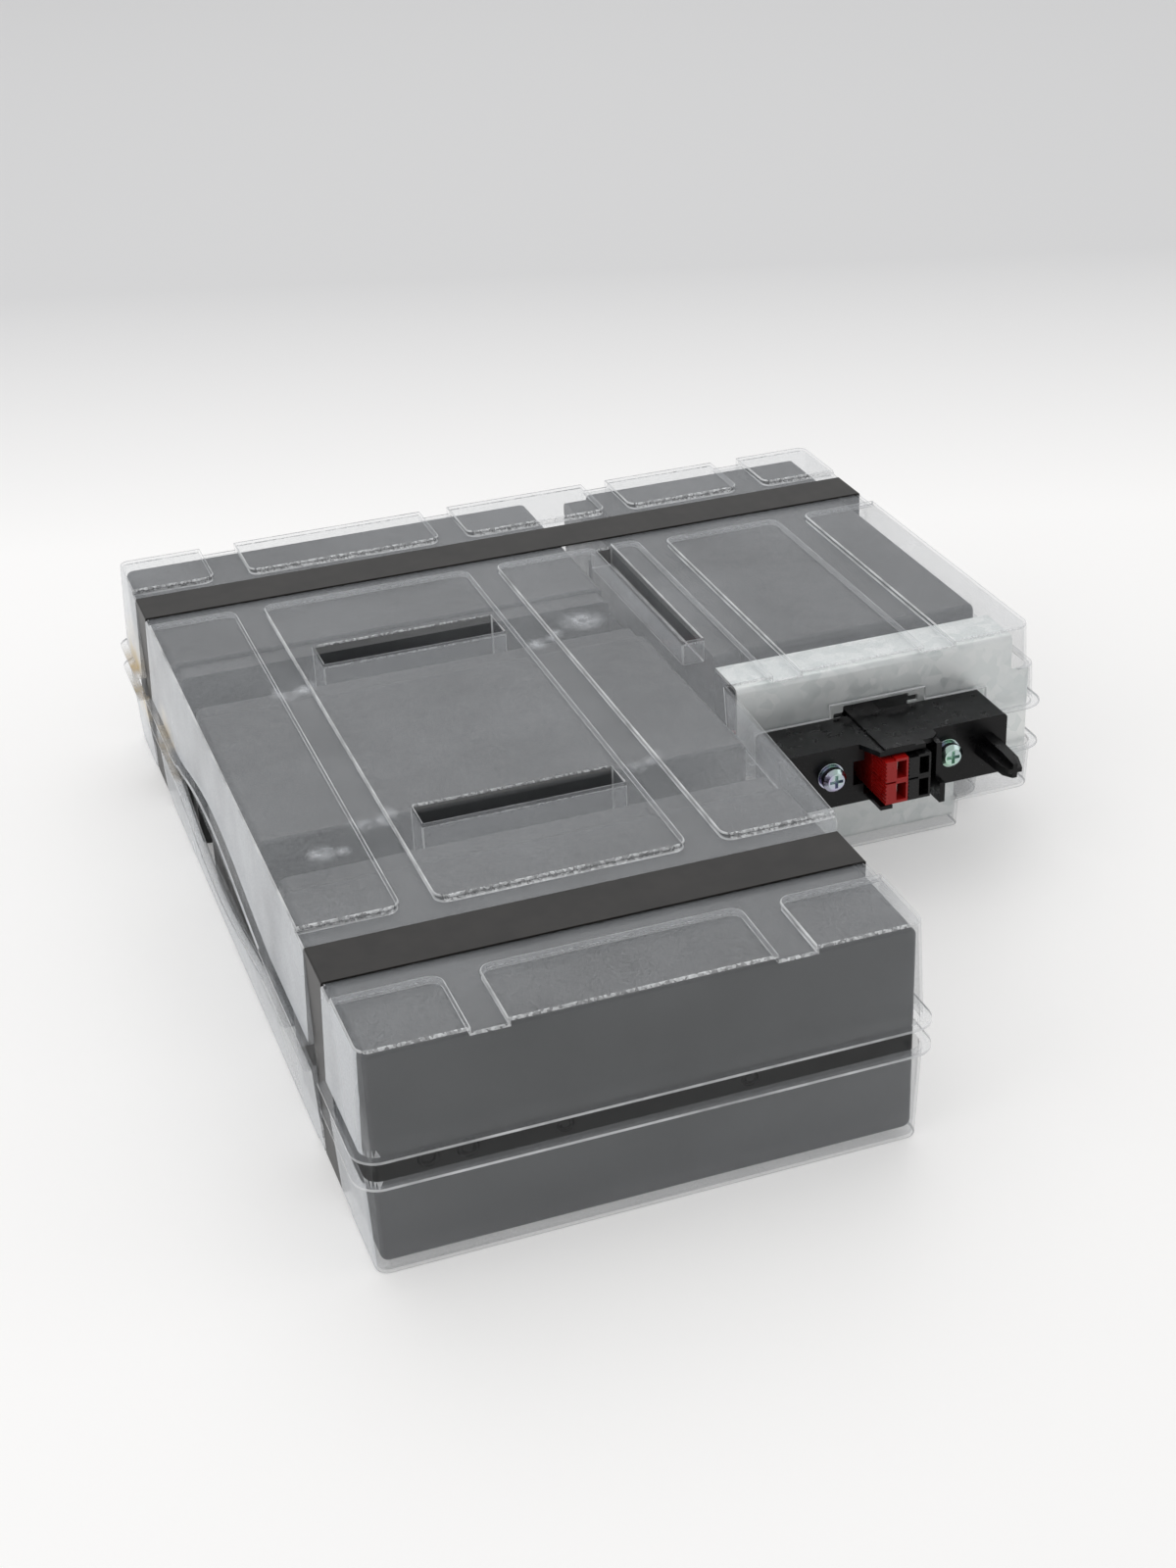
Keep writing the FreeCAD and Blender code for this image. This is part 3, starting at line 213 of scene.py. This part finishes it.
def thermoformed_sheet(name, haze, slant_haze, roughness=0.2, grit=0.35):
    """Clear PET, vacuum-formed and handled: a pale grained veil over what lies behind it, denser where it
    is seen at a slant, with white scuffs and the yellow of old adhesive. The veil thins the gloss as well
    as the colour, so the index is raised until the sheet shines as a solid one does."""
    colours = bpy.context.scene.cartridge_colours
    material, tree, shader, place = new_material(name, IOR=2.1)
    cloud = add_node(tree, "ShaderNodeTexNoise", {"Scale": 1.0 / (45 * MM), "Detail": 3.0}, {"Vector": place})
    # The sheet's own grain is finer; it is drawn just coarse enough to show.
    grain = add_node(tree, "ShaderNodeTexNoise",
                     {"Scale": 1.0 / (0.7 * MM), "Detail": 2.0, "Roughness": 0.7}, {"Vector": place})

    # The veil, thicker at a slant, cloudy and grained.
    facing = add_node(tree, "ShaderNodeLayerWeight", {"Blend": 0.3}, {}).outputs["Facing"]
    veil = add_node(tree, "ShaderNodeMapRange",
                    {"From Min": 0.1, "From Max": 1.0, "To Min": haze, "To Max": slant_haze},
                    {"Value": facing})
    clouding = add_node(tree, "ShaderNodeMapRange",
                        {"From Min": 0.3, "From Max": 0.7, "To Min": 0.85, "To Max": 1.15}, {"Value": cloud})
    graining = add_node(tree, "ShaderNodeMapRange",
                        {"From Min": 0.35, "From Max": 0.65, "To Min": 1 - grit, "To Max": 1 + grit},
                        {"Value": grain})
    for pattern in (clouding, graining):
        veil = add_node(tree, "ShaderNodeMath", {"operation": "MULTIPLY"}, {0: veil, 1: pattern})

    # The marks, which make it denser still.
    scuff = add_node(tree, "ShaderNodeMath", {"operation": "MULTIPLY"},
                     {0: soft_spots(tree, place, SCUFFS), 1: uneven(tree, place, 3, 0.0, 0.5, 4.0)})
    stain = add_node(tree, "ShaderNodeMath", {"operation": "MULTIPLY"},
                     {0: soft_spots(tree, place, STAINS), 1: uneven(tree, place, 9, 0.2, 1.0, 3.0)})
    body = add_node(tree, "ShaderNodeMapRange",
                    {"From Min": 0.3, "From Max": 0.7, "To Min": 0.65, "To Max": 0.9}, {"Value": cloud})
    adhesive = add_node(tree, "ShaderNodeMath", {"operation": "MULTIPLY"}, {0: stain, 1: body})
    marks = add_node(tree, "ShaderNodeMath", {"operation": "MAXIMUM"}, {0: scuff, 1: adhesive})

    join(tree, shader, {
        "Alpha": add_node(tree, "ShaderNodeMath", {"operation": "ADD", "use_clamp": True},
                          {0: veil, 1: marks}),
        "Base Color": add_node(tree, "ShaderNodeMix",
                               {"data_type": "RGBA", 6: linear(colours.film), 7: linear(colours.stain)},
                               {"Factor": stain}).outputs[2],
        "Roughness": add_node(tree, "ShaderNodeMapRange",
                              {"From Min": 0.3, "From Max": 0.7, "To Min": roughness - 0.05,
                               "To Max": roughness + 0.1}, {"Value": cloud}),
        "Normal": add_node(tree, "ShaderNodeBump", {"Strength": min(grit, 0.4), "Distance": 0.015 * MM},
                           {"Height": grain}),
    })
    return material


def painted_edge_highlight(name, value):
    """A painted highlight along a sharp fold or the cut edge of the sheet: a thin bright line, clearer in
    some stretches than in others. Its index is raised as the sheet's is."""
    material, tree, shader, place = new_material(name, Base_Color=linear(value), IOR=2.0, Roughness=0.12)
    join(tree, shader, {"Alpha": uneven(tree, place, 11, 0.4, 0.9, 4.0)})
    return material


def crushed_edge(name, value):
    """Where the sheet is drawn over a near corner it whitens and cracks into fine facets, which carry painted
    glints, brighter on some facets than on others. They are drawn coarse enough to show, and their index is
    raised as the sheet's is."""
    material, tree, shader, place = new_material(name, Base_Color=linear(value), IOR=1.9, Roughness=0.1)
    flake = add_node(tree, "ShaderNodeTexVoronoi", {"Scale": 1.0 / (0.8 * MM)}, {"Vector": place})
    level = add_node(tree, "ShaderNodeSeparateColor", {}, {"Color": flake.outputs["Color"]})
    painted_glints = add_node(tree, "ShaderNodeMapRange",
                       {"From Min": 0.2, "From Max": 0.9, "To Min": 0.3, "To Max": 1.0}, {"Value": level})
    join(tree, shader, {
        "Alpha": add_node(tree, "ShaderNodeMath", {"operation": "MULTIPLY"},
                          {0: painted_glints, 1: uneven(tree, place, 12, 0.6, 1.0, 3.0)}),
        "Normal": add_node(tree, "ShaderNodeBump", {"Strength": 0.9, "Distance": 0.3 * MM},
                           {"Height": flake}),
    })
    return material


def moulded_case(name, value):
    """Black injection-moulded ABS with a fine spark-eroded grain, even and slightly glossy, and the small
    rings that the mould's ejector pins leave."""
    material, tree, shader, place = new_material(name, IOR=1.54)
    near_face = (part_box("front_battery_case")[0][1] - CAD_LOW[1]) / MM
    pins = soft_spots(tree, place, [(x, near_face, z, radius) for x, z, radius in EJECTOR_PINS])
    inside = add_node(tree, "ShaderNodeMapRange",
                      {"From Min": 0.1, "From Max": 0.25, "To Min": 0.0, "To Max": 1.0}, {"Value": pins})
    outside = add_node(tree, "ShaderNodeMapRange",
                       {"From Min": 0.4, "From Max": 0.6, "To Min": 1.0, "To Max": 0.0}, {"Value": pins})
    ring = add_node(tree, "ShaderNodeMath", {"operation": "MULTIPLY"}, {0: inside, 1: outside})
    relief = add_node(tree, "ShaderNodeMath", {"operation": "SUBTRACT"},
                      {0: uneven(tree, place, 0.35, 0.0, 0.004), 1: ring})
    join(tree, shader, {
        "Base Color": add_node(tree, "ShaderNodeMix",
                               {"data_type": "RGBA", 6: linear(value), 7: linear("#17191a")},
                               {"Factor": uneven(tree, place, 30, 0.0, 1.0, 3.0)}).outputs[2],
        "Roughness": uneven(tree, place, 6, 0.32, 0.45, 3.0),
        "Normal": add_node(tree, "ShaderNodeBump", {"Strength": 1.0, "Distance": 0.6 * MM},
                           {"Height": relief}),
    })
    return material


def woven_band(name, value):
    """Flat polypropylene strapping: a crosswise ribbing with a dull sheen. The real ribs are finer; they
    are drawn coarse enough to show."""
    material, tree, shader, place = new_material(name, IOR=1.49, Roughness=0.4, Specular_IOR_Level=0.35)
    rib = 5.236 * MM
    weave = add_node(tree, "ShaderNodeTexWave",
                     {"Scale": math.pi / (10 * rib), "Distortion": 0.6, "Detail": 1.0}, {"Vector": place})
    join(tree, shader, {
        "Base Color": add_node(tree, "ShaderNodeMix",
                               {"data_type": "RGBA", 6: linear(value), 7: linear("#221f1d")},
                               {"Factor": uneven(tree, place, 9, 0.0, 1.0, 4.0)}).outputs[2],
        "Normal": add_node(tree, "ShaderNodeBump", {"Strength": 0.4, "Distance": 0.04 * MM},
                           {"Height": weave.outputs["Fac"]}),
    })
    return material


def galvanised_steel(name, value):
    """Hot-dip galvanised sheet: small pale crystals of zinc, each catching the light a little differently.
    Its oxide dulls it, so it is a little less than fully metallic."""
    material, tree, shader, place = new_material(name, Metallic=0.7)
    crystal = add_node(tree, "ShaderNodeTexVoronoi", {"Scale": 1.0 / (3.5 * MM)}, {"Vector": place})
    level = add_node(tree, "ShaderNodeSeparateColor", {}, {"Color": crystal.outputs["Color"]})
    rolled = add_node(tree, "ShaderNodeTexNoise", {"Scale": 1.0 / (1.5 * MM), "Detail": 3.0},
                      {"Vector": place})
    join(tree, shader, {
        "Base Color": add_node(tree, "ShaderNodeMix",
                               {"data_type": "RGBA", 6: linear(value), 7: linear("#eceeed")},
                               {"Factor": level}).outputs[2],
        "Roughness": add_node(tree, "ShaderNodeMapRange",
                              {"From Min": 0.0, "From Max": 1.0, "To Min": 0.34, "To Max": 0.5},
                              {"Value": level}),
        "Normal": add_node(tree, "ShaderNodeBump", {"Strength": 0.3, "Distance": 0.02 * MM},
                           {"Height": rolled}),
    })
    return material


def satin_plastic(name, value, roughness=0.4, gloss=0.5):
    """Nylon, polycarbonate or vinyl: deep colour with a faintly mottled satin surface."""
    material, tree, shader, place = new_material(name, Base_Color=linear(value), IOR=1.53,
                                                 Specular_IOR_Level=gloss)
    grain = add_node(tree, "ShaderNodeTexNoise", {"Scale": 1.0 / (0.4 * MM), "Detail": 2.0},
                     {"Vector": place})
    join(tree, shader, {
        "Roughness": uneven(tree, place, 3, roughness - 0.06, roughness + 0.08, 3.0),
        "Normal": add_node(tree, "ShaderNodeBump", {"Strength": 0.35, "Distance": 0.01 * MM},
                           {"Height": grain}),
    })
    return material


def plated_metal(name, value, roughness, cast="#d6d8d6", patch=1.5):
    """Bright plated metal with faint drawing marks, and on zinc the violet and green of its passivation."""
    material, tree, shader, place = new_material(name, Metallic=1.0)
    join(tree, shader, {
        "Base Color": add_node(tree, "ShaderNodeMix",
                               {"data_type": "RGBA", 6: linear(value), 7: linear(cast)},
                               {"Factor": uneven(tree, place, patch, 0.0, 1.0)}).outputs[2],
        "Roughness": uneven(tree, place, 0.8, roughness - 0.05, roughness + 0.08),
    })
    return material


FINISHES = {}


def finish(slot_name):
    """The material of a record slot, made once."""
    if slot_name not in FINISHES:
        colours = bpy.context.scene.cartridge_colours
        makers = {
            "clear_film": lambda: thermoformed_sheet("Thermoformed_PET_sheet", 0.055, 0.3),
            "strap": lambda: woven_band("Polypropylene_strapping", colours.strap),
            "battery_case": lambda: moulded_case("Moulded_ABS_case", colours.case),
            "battery_lid": lambda: moulded_case("Moulded_ABS_lid", colours.case),
            "tinned_brass": lambda: plated_metal("Tinned_brass", "#a8a79f", 0.3),
            "galvanised_steel": lambda: galvanised_steel("Galvanised_steel", colours.zinc),
            "plate_moulding": lambda: satin_plastic("Moulded_nylon", colours.plate, 0.3, 0.22),
            "red_housing": lambda: satin_plastic("Red_polycarbonate", colours.red, 0.3, 0.35),
            "black_housing": lambda: satin_plastic("Black_polycarbonate", colours.black, 0.25, 0.3),
            "silvered_copper": lambda: plated_metal("Silver_plated_copper", "#c9c5ba", 0.25),
            "zinc_plated_steel": lambda: plated_metal("Bright_zinc_plate", "#bcb2d2", 0.18, "#b4d6c2", 6),
            "red_insulation": lambda: satin_plastic("Red_vinyl_insulation", "#a51917", 0.45),
            "black_insulation": lambda: satin_plastic("Black_vinyl_insulation", "#121212", 0.45),
        }
        FINISHES[slot_name] = makers[slot_name]()
    return FINISHES[slot_name]


# ---- modelling helpers ---------------------------------------------------------------------------

def select_only(thing):
    bpy.ops.object.select_all(action="DESELECT")
    thing.select_set(True)
    bpy.context.view_layer.objects.active = thing


def copy_of(node_name, piece_name):
    """A merged copy of a CAD node, with its flat faces whole again, ready to be worked on."""
    source = NODES[node_name]
    piece = bpy.data.objects.new(piece_name, source.data.copy())
    bpy.context.scene.collection.objects.link(piece)
    piece.data.materials.clear()
    select_only(piece)
    bpy.ops.object.mode_set(mode="EDIT")
    bpy.ops.mesh.select_all(action="SELECT")
    bpy.ops.mesh.remove_doubles(threshold=0.002 * MM)
    bpy.ops.mesh.dissolve_limited(angle_limit=math.radians(1.0))
    bpy.ops.object.mode_set(mode="OBJECT")
    return piece


def bevel_edges(piece, chosen, offset, segments=2, slot_index=-1, clamped=True):
    """Rounds the sharp edges that the test picks, and gives the new faces a material slot if asked."""
    select_only(piece)
    bpy.ops.object.mode_set(mode="EDIT")
    bpy.ops.mesh.select_mode(type="EDGE")
    bpy.ops.mesh.select_all(action="DESELECT")
    mesh = bmesh.from_edit_mesh(piece.data)
    picked = [edge for edge in mesh.edges
              if len(edge.link_faces) == 2 and edge.calc_face_angle(0.0) > SHARP_ANGLE and chosen(edge)]
    for edge in picked:
        edge.select = True
    mesh.select_flush_mode()
    bmesh.update_edit_mesh(piece.data)
    if picked:
        bpy.ops.mesh.bevel(offset=offset, segments=segments, affect="EDGES", material=slot_index,
                           clamp_overlap=clamped, loop_slide=clamped)
    bpy.ops.object.mode_set(mode="OBJECT")


def hand_over(piece, *nodes):
    """Smooths a finished piece and puts it in the place of its CAD nodes."""
    select_only(piece)
    bpy.ops.object.shade_smooth_by_angle(angle=SMOOTH_ANGLE)
    flatten = piece.modifiers.new("Flat_faces_stay_flat", "WEIGHTED_NORMAL")
    flatten.weight = 100
    flatten.keep_sharp = True
    bpy.ops.object.modifier_apply(modifier=flatten.name)
    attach(piece, "root")
    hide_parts(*nodes)


def rounded_copies(names, offset, segments=2):
    """Replaces CAD nodes by copies whose sharp edges are rounded as the real piece's are."""
    for name in names:
        piece = copy_of(name, name + "_finished")
        piece.data.materials.append(finish(SLOTS[name]))
        bevel_edges(piece, lambda edge: True, offset, segments)
        hand_over(piece, name)


# ---- the clear shells ----------------------------------------------------------------------------

# The material slots of a shell: the plain film; the painted highlight on its folds and cut edge; its crushed
# near edges with painted glints; the deep-drawn film in the ribs; the left walls, whose denser, paler veil is
# a painted reflection of the bright left side; and the side faces.
FILM, EDGE_HIGHLIGHT, CRUSHED_AND_GLINTS, DEEP, LEFT_PAINTED_REFLECTION, SIDE = range(6)


def paint_faces(piece, slot_index, chosen):
    for face in piece.data.polygons:
        if chosen(face.center, face.normal):
            face.material_index = slot_index


def in_wells(centre):
    """Whether a place lies inside one of the deep ribs or the groove, below the panels."""
    x, y = (centre[0] - CAD_LOW[0]) / MM, (centre[1] - CAD_LOW[1]) / MM
    within = any(left < x < right and near < y < far for (left, right), (near, far) in WELLS)
    return within and centre[2] < CAD_HIGH[2] - WELL_DEPTH * MM


def on_left_wall(centre):
    return centre[0] < CAD_LOW[0] + LEFT_WALL * MM


def spring_open(piece, gape, rim, upward):
    """Springs the shell's left rim away from the other shell, between the straps."""
    near, far = (CAD_LOW[1] + end * MM for end in SPRUNG)
    select_only(piece)
    bpy.ops.object.mode_set(mode="EDIT")
    bpy.ops.mesh.select_mode(type="FACE")
    for step in range(BOW_CUTS):
        bpy.ops.mesh.select_all(action="DESELECT")
        mesh = bmesh.from_edit_mesh(piece.data)
        for face in mesh.faces:
            face.select = on_left_wall(face.calc_center_median())
        bmesh.update_edit_mesh(piece.data)
        cut = near + (far - near) * step / (BOW_CUTS - 1)
        bpy.ops.mesh.bisect(plane_co=(0, cut, 0), plane_no=(0, 1, 0))
    bpy.ops.object.mode_set(mode="OBJECT")
    for vertex in piece.data.vertices:
        share = (vertex.co.y - near) / (far - near)
        if on_left_wall(vertex.co) and 0 < share < 1:
            hold = max(0.0, 1 - abs(vertex.co.z - rim) / (BOW_REACH * MM))
            # The gap opens slowly at its near end and closes faster at its far end.
            swell = math.sin(math.pi * share ** 1.15) ** 1.3
            vertex.co.z += gape * swell * hold * upward


class OBJECT_OT_cartridge_shells(bpy.types.Operator):
    """Makes the two clear shells, with their formed edges rounded and crushed as the real ones are, a painted
    highlight on the folds, painted glints on the crushed edges and a painted reflection on the left walls
    """
    bl_idname = "object.cartridge_shells"
    bl_label = "Clear shells"

    def execute(self, context):
        colours, sizes = context.scene.cartridge_colours, context.scene.cartridge_sizes
        film = (
            finish("clear_film"),
            painted_edge_highlight("Sheet_edge_painted_highlight", colours.film_edge),
            crushed_edge("Crushed_sheet_edge_painted_glints", colours.film_edge),
            thermoformed_sheet("Deep_drawn_sheet", 0.02, 0.14, 0.12),
            # A denser, paler veil for the left walls: a painted reflection of the bright left side.
            thermoformed_sheet("Left_sheet_painted_reflection", 0.6, 0.74, 0.2, 0.06),
            thermoformed_sheet("Smooth_side_sheet", 0.07, 0.3, 0.12, 0.05),
        )
        for name, upward in (("top_shell", 1), ("bottom_shell", -1)):
            piece = copy_of(name, name + "_formed")
            low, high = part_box(name)
            rim = low[2] if upward > 0 else high[2]
            crown = high[2] - PANEL_DROP * MM
            for material in film:
                piece.data.materials.append(material)
            spring_open(piece, sizes.gape, rim, upward)
            paint_faces(piece, SIDE, lambda centre, normal: abs(normal[2]) < 0.6)
            paint_faces(piece, DEEP, lambda centre, normal: in_wells(centre))
            # The left-facing faces of the left wall get the painted reflection of the bright left side.
            paint_faces(piece, LEFT_PAINTED_REFLECTION, lambda centre, normal: normal[0] < -0.8 and on_left_wall(centre))
            # The sheet's cut edge, all round the flange, gets the painted highlight as a bright line.
            paint_faces(piece, EDGE_HIGHLIGHT, lambda centre, normal: abs(normal[2]) < 0.5
                        and abs(centre[2] - rim) < CUT_EDGE * MM)

            def at_rim(edge):
                return any(abs(vertex.co.z - rim) < FLANGE_REACH * MM for vertex in edge.verts)

            def is_near_edge(edge):
                """Whether the edge runs along X at the near side of a raised panel or a rib."""
                start, end = (vertex.co for vertex in edge.verts)
                return (upward > 0 and min(start.z, end.z) > crown and abs(start.y - end.y) < 0.2 * MM
                        and any(face.normal.y < -0.7 for face in edge.link_faces) and not at_rim(edge))

            # Convex folds get the painted highlight; concave ones stay plain film.
            def is_formed_edge(edge):
                middle = (edge.verts[0].co + edge.verts[1].co) / 2
                painted = any(face.material_index in (EDGE_HIGHLIGHT, CRUSHED_AND_GLINTS) for face in edge.link_faces)
                return edge.is_convex and not painted and not at_rim(edge) and not in_wells(middle)

            # The near edges, on the side toward the camera, are crushed and carry painted glints.
            bevel_edges(piece, is_near_edge, sizes.crushed_edge, 3, CRUSHED_AND_GLINTS, False)
            bevel_edges(piece, is_formed_edge, sizes.film_edge, 2, EDGE_HIGHLIGHT, False)
            hand_over(piece, name)
        return {"FINISHED"}


# ---- the other pieces ----------------------------------------------------------------------------

class OBJECT_OT_cartridge_bands(bpy.types.Operator):
    """Makes the two straps, with rolled edges"""
    bl_idname = "object.cartridge_bands"
    bl_label = "Straps"

    def execute(self, context):
        rounded_copies(("front_strap", "rear_strap"), context.scene.cartridge_sizes.strap_edge)
        return {"FINISHED"}


class OBJECT_OT_cartridge_batteries(bpy.types.Operator):
    """Makes the four battery cases, with their moulded edges"""
    bl_idname = "object.cartridge_batteries"
    bl_label = "Battery cases"

    def execute(self, context):
        names = [name for name in NODES if SLOTS[name] == "battery_case"]
        rounded_copies(names, context.scene.cartridge_sizes.case_edge, 3)
        return {"FINISHED"}


class OBJECT_OT_cartridge_bracket(bpy.types.Operator):
    """Makes the folded steel bracket, with its cut edges eased"""
    bl_idname = "object.cartridge_bracket"
    bl_label = "Steel bracket"

    def execute(self, context):
        rounded_copies(("mounting_bracket",), context.scene.cartridge_sizes.steel_edge)
        return {"FINISHED"}


class OBJECT_OT_cartridge_connector(bpy.types.Operator):
    """Makes the connector plate and the four housings, with their moulded edges"""
    bl_idname = "object.cartridge_connector"
    bl_label = "Connector"

    def execute(self, context):
        sizes = context.scene.cartridge_sizes
        rounded_copies(("connector_plate",), sizes.plate_edge)
        rounded_copies([name for name in NODES if "_housing_" in name], sizes.housing_edge)
        return {"FINISHED"}


class OBJECT_OT_cartridge_fasteners(bpy.types.Operator):
    """Makes the plate's screws and washers, with their edges eased"""
    bl_idname = "object.cartridge_fasteners"
    bl_label = "Screws and washers"

    def execute(self, context):
        names = [name for name in NODES if "screw" in name or "washer" in name]
        rounded_copies(names, context.scene.cartridge_sizes.steel_edge)
        return {"FINISHED"}


class OBJECT_OT_cartridge_finishes(bpy.types.Operator):
    """Gives every CAD node its real finish, for those that stay"""
    bl_idname = "object.cartridge_finishes"
    bl_label = "Finishes of the plain pieces"

    def execute(self, context):
        for name, node in NODES.items():
            node.data.materials.clear()
            node.data.materials.append(finish(SLOTS[name]))
        return {"FINISHED"}


# ---- the stage -----------------------------------------------------------------------------------

FLOOR_SIZE = 12.0
FLOOR_DROP = 0.2 * MM
# The camera looks along this line over the floor. Along it, in metres, the pale floor turns greyer
# between these two distances: painted shade that darkens the far floor.
VIEW_LINE = (0.32, 0.947, 0)
FAR_SHADE_START, FAR_SHADE_END = 0.29, 0.68
# The colour of the painted shade on the far floor.
FAR_SHADE_COLOUR = "#b4b4b5"

# Name, place in metres, side in metres and power in watts; each lamp faces the middle of the object.
LAMPS = (
    ("Overhead_softbox", (0.1, 0.9, 1.6), 2.0, 8.5),
    ("Left_softbox", (-1.6, -0.2, 1.0), 1.4, 7.0),
    ("Right_softbox", (1.5, -0.6, 0.8), 1.2, 3.0),
)

LENS = 54.55
CAMERA_PLACE = (-231.5, -635.4, 402.4)
CAMERA_AZIMUTH, CAMERA_ELEVATION, CAMERA_ROLL = (math.radians(angle) for angle in (18.66, 28.69, -2.46))


def make_floor(scene):
    bpy.ops.object.select_all(action="DESELECT")
    bpy.ops.mesh.primitive_plane_add(size=FLOOR_SIZE, location=(0, 1.5, -FLOOR_DROP))
    floor = bpy.context.object
    floor.name = "floor"
    bpy.ops.object.transform_apply(location=True, rotation=False, scale=False)
    floor.data.materials.append(painted_floor("Pale_painted_floor", scene.cartridge_colours.floor))


def painted_floor(name, value):
    """Matt white paint, with painted shade that makes it greyer far away. A painted glow, weaker far away,
    makes it paler; it is only seen, directly or mirrored, and gives no light, so the shadow stays soft and
    the object is lit by the lamps alone."""
    material, tree, shader, place = new_material(name, Roughness=0.5, Emission_Color=(1, 1, 1, 1))
    along = add_node(tree, "ShaderNodeVectorMath", {"operation": "DOT_PRODUCT", 1: VIEW_LINE},
                     {0: place}).outputs["Value"]
    away = add_node(tree, "ShaderNodeMapRange",
                    {"From Min": FAR_SHADE_START, "From Max": FAR_SHADE_END, "To Min": 0.0, "To Max": 1.0},
                    {"Value": along})
    # Painted glow: a white emission, seen only by camera and glossy rays, that lightens the floor and its
    # cast shadow.
    painted_glow = add_node(tree, "ShaderNodeMapRange",
                        {"From Min": 0.0, "From Max": 1.0, "To Min": 0.33, "To Max": 0.2}, {"Value": away})
    rays = add_node(tree, "ShaderNodeLightPath", {}, {}).outputs
    seen = add_node(tree, "ShaderNodeMath", {"operation": "MAXIMUM"},
                    {0: rays["Is Camera Ray"], 1: rays["Is Glossy Ray"]})
    join(tree, shader, {
        "Base Color": add_node(tree, "ShaderNodeMix",
                               {"data_type": "RGBA", 6: linear(value), 7: linear(FAR_SHADE_COLOUR)},
                               {"Factor": away}).outputs[2],
        "Emission Strength": add_node(tree, "ShaderNodeMath", {"operation": "MULTIPLY"},
                                      {0: painted_glow, 1: seen}),
    })
    return material


def make_room(scene):
    """An even pale room, which is seen a little brighter than it lights."""
    world = bpy.data.worlds.new("Soft_room")
    scene.world = world
    world.use_nodes = True
    tree = world.node_tree
    light = tree.nodes["Background"]
    light.inputs["Color"].default_value = linear("#f4f4f4")
    light.inputs["Strength"].default_value = 0.72
    shown = add_node(tree, "ShaderNodeBackground", {"Color": linear("#f1f1f1"), "Strength": 1.0}, {})
    rays = add_node(tree, "ShaderNodeLightPath", {}, {}).outputs
    seen = add_node(tree, "ShaderNodeMath", {"operation": "MAXIMUM"},
                    {0: rays["Is Camera Ray"], 1: rays["Is Transmission Ray"]})
    mix = add_node(tree, "ShaderNodeMixShader", {}, {0: seen, 1: light, 2: shown})
    join(tree, tree.nodes["World Output"], {"Surface": mix})


def make_lamps(scene):
    for name, spot, side, watts in LAMPS:
        lamp = bpy.data.lights.new(name, "AREA")
        lamp.shape = "SQUARE"
        lamp.size = side
        lamp.energy = watts
        holder = bpy.data.objects.new(name, lamp)
        scene.collection.objects.link(holder)
        holder.location = spot
        holder.rotation_euler = (-Vector(spot)).to_track_quat("-Z", "Y").to_euler()


def make_camera(scene):
    lens = bpy.data.cameras.new("Product_view")
    lens.lens = LENS
    lens.clip_start = 20 * MM
    camera = bpy.data.objects.new("Product_view", lens)
    scene.collection.objects.link(camera)
    ahead = Vector((math.sin(CAMERA_AZIMUTH) * math.cos(CAMERA_ELEVATION),
                    math.cos(CAMERA_AZIMUTH) * math.cos(CAMERA_ELEVATION), -math.sin(CAMERA_ELEVATION)))
    aim = ahead.to_track_quat("-Z", "Y").to_matrix() @ Matrix.Rotation(CAMERA_ROLL, 3, "Z")
    camera.matrix_world = Matrix.Translation(Vector(CAMERA_PLACE) * MM) @ aim.to_4x4()
    scene.camera = camera


class OBJECT_OT_cartridge_stage(bpy.types.Operator):
    """Makes the pale floor, the soft light and the camera"""
    bl_idname = "object.cartridge_stage"
    bl_label = "Floor, light and camera"

    def execute(self, context):
        scene = context.scene
        scene.view_settings.view_transform = "Standard"
        make_floor(scene)
        make_room(scene)
        make_lamps(scene)
        make_camera(scene)
        return {"FINISHED"}


# ---- the add-on ----------------------------------------------------------------------------------

STEPS = (
    OBJECT_OT_cartridge_finishes,
    OBJECT_OT_cartridge_batteries,
    OBJECT_OT_cartridge_bands,
    OBJECT_OT_cartridge_bracket,
    OBJECT_OT_cartridge_connector,
    OBJECT_OT_cartridge_fasteners,
    OBJECT_OT_cartridge_shells,
    OBJECT_OT_cartridge_stage,
)


class VIEW3D_PT_cartridge(bpy.types.Panel):
    bl_label = "Battery cartridge"
    bl_idname = "VIEW3D_PT_cartridge"
    bl_space_type = "VIEW_3D"
    bl_region_type = "UI"
    bl_category = "Battery cartridge"

    def draw(self, context):
        for step in STEPS:
            self.layout.operator(step.bl_idname)


CLASSES = (CartridgeColours, CartridgeSizes) + STEPS + (VIEW3D_PT_cartridge,)


def register():
    for item in CLASSES:
        bpy.utils.register_class(item)
    bpy.types.Scene.cartridge_colours = bpy.props.PointerProperty(type=CartridgeColours)
    bpy.types.Scene.cartridge_sizes = bpy.props.PointerProperty(type=CartridgeSizes)


def unregister():
    del bpy.types.Scene.cartridge_sizes
    del bpy.types.Scene.cartridge_colours
    for item in reversed(CLASSES):
        bpy.utils.unregister_class(item)


def main():
    register()
    for step in STEPS:
        space, name = step.bl_idname.split(".")
        getattr(getattr(bpy.ops, space), name)()


if __name__ == "__main__":
    main()
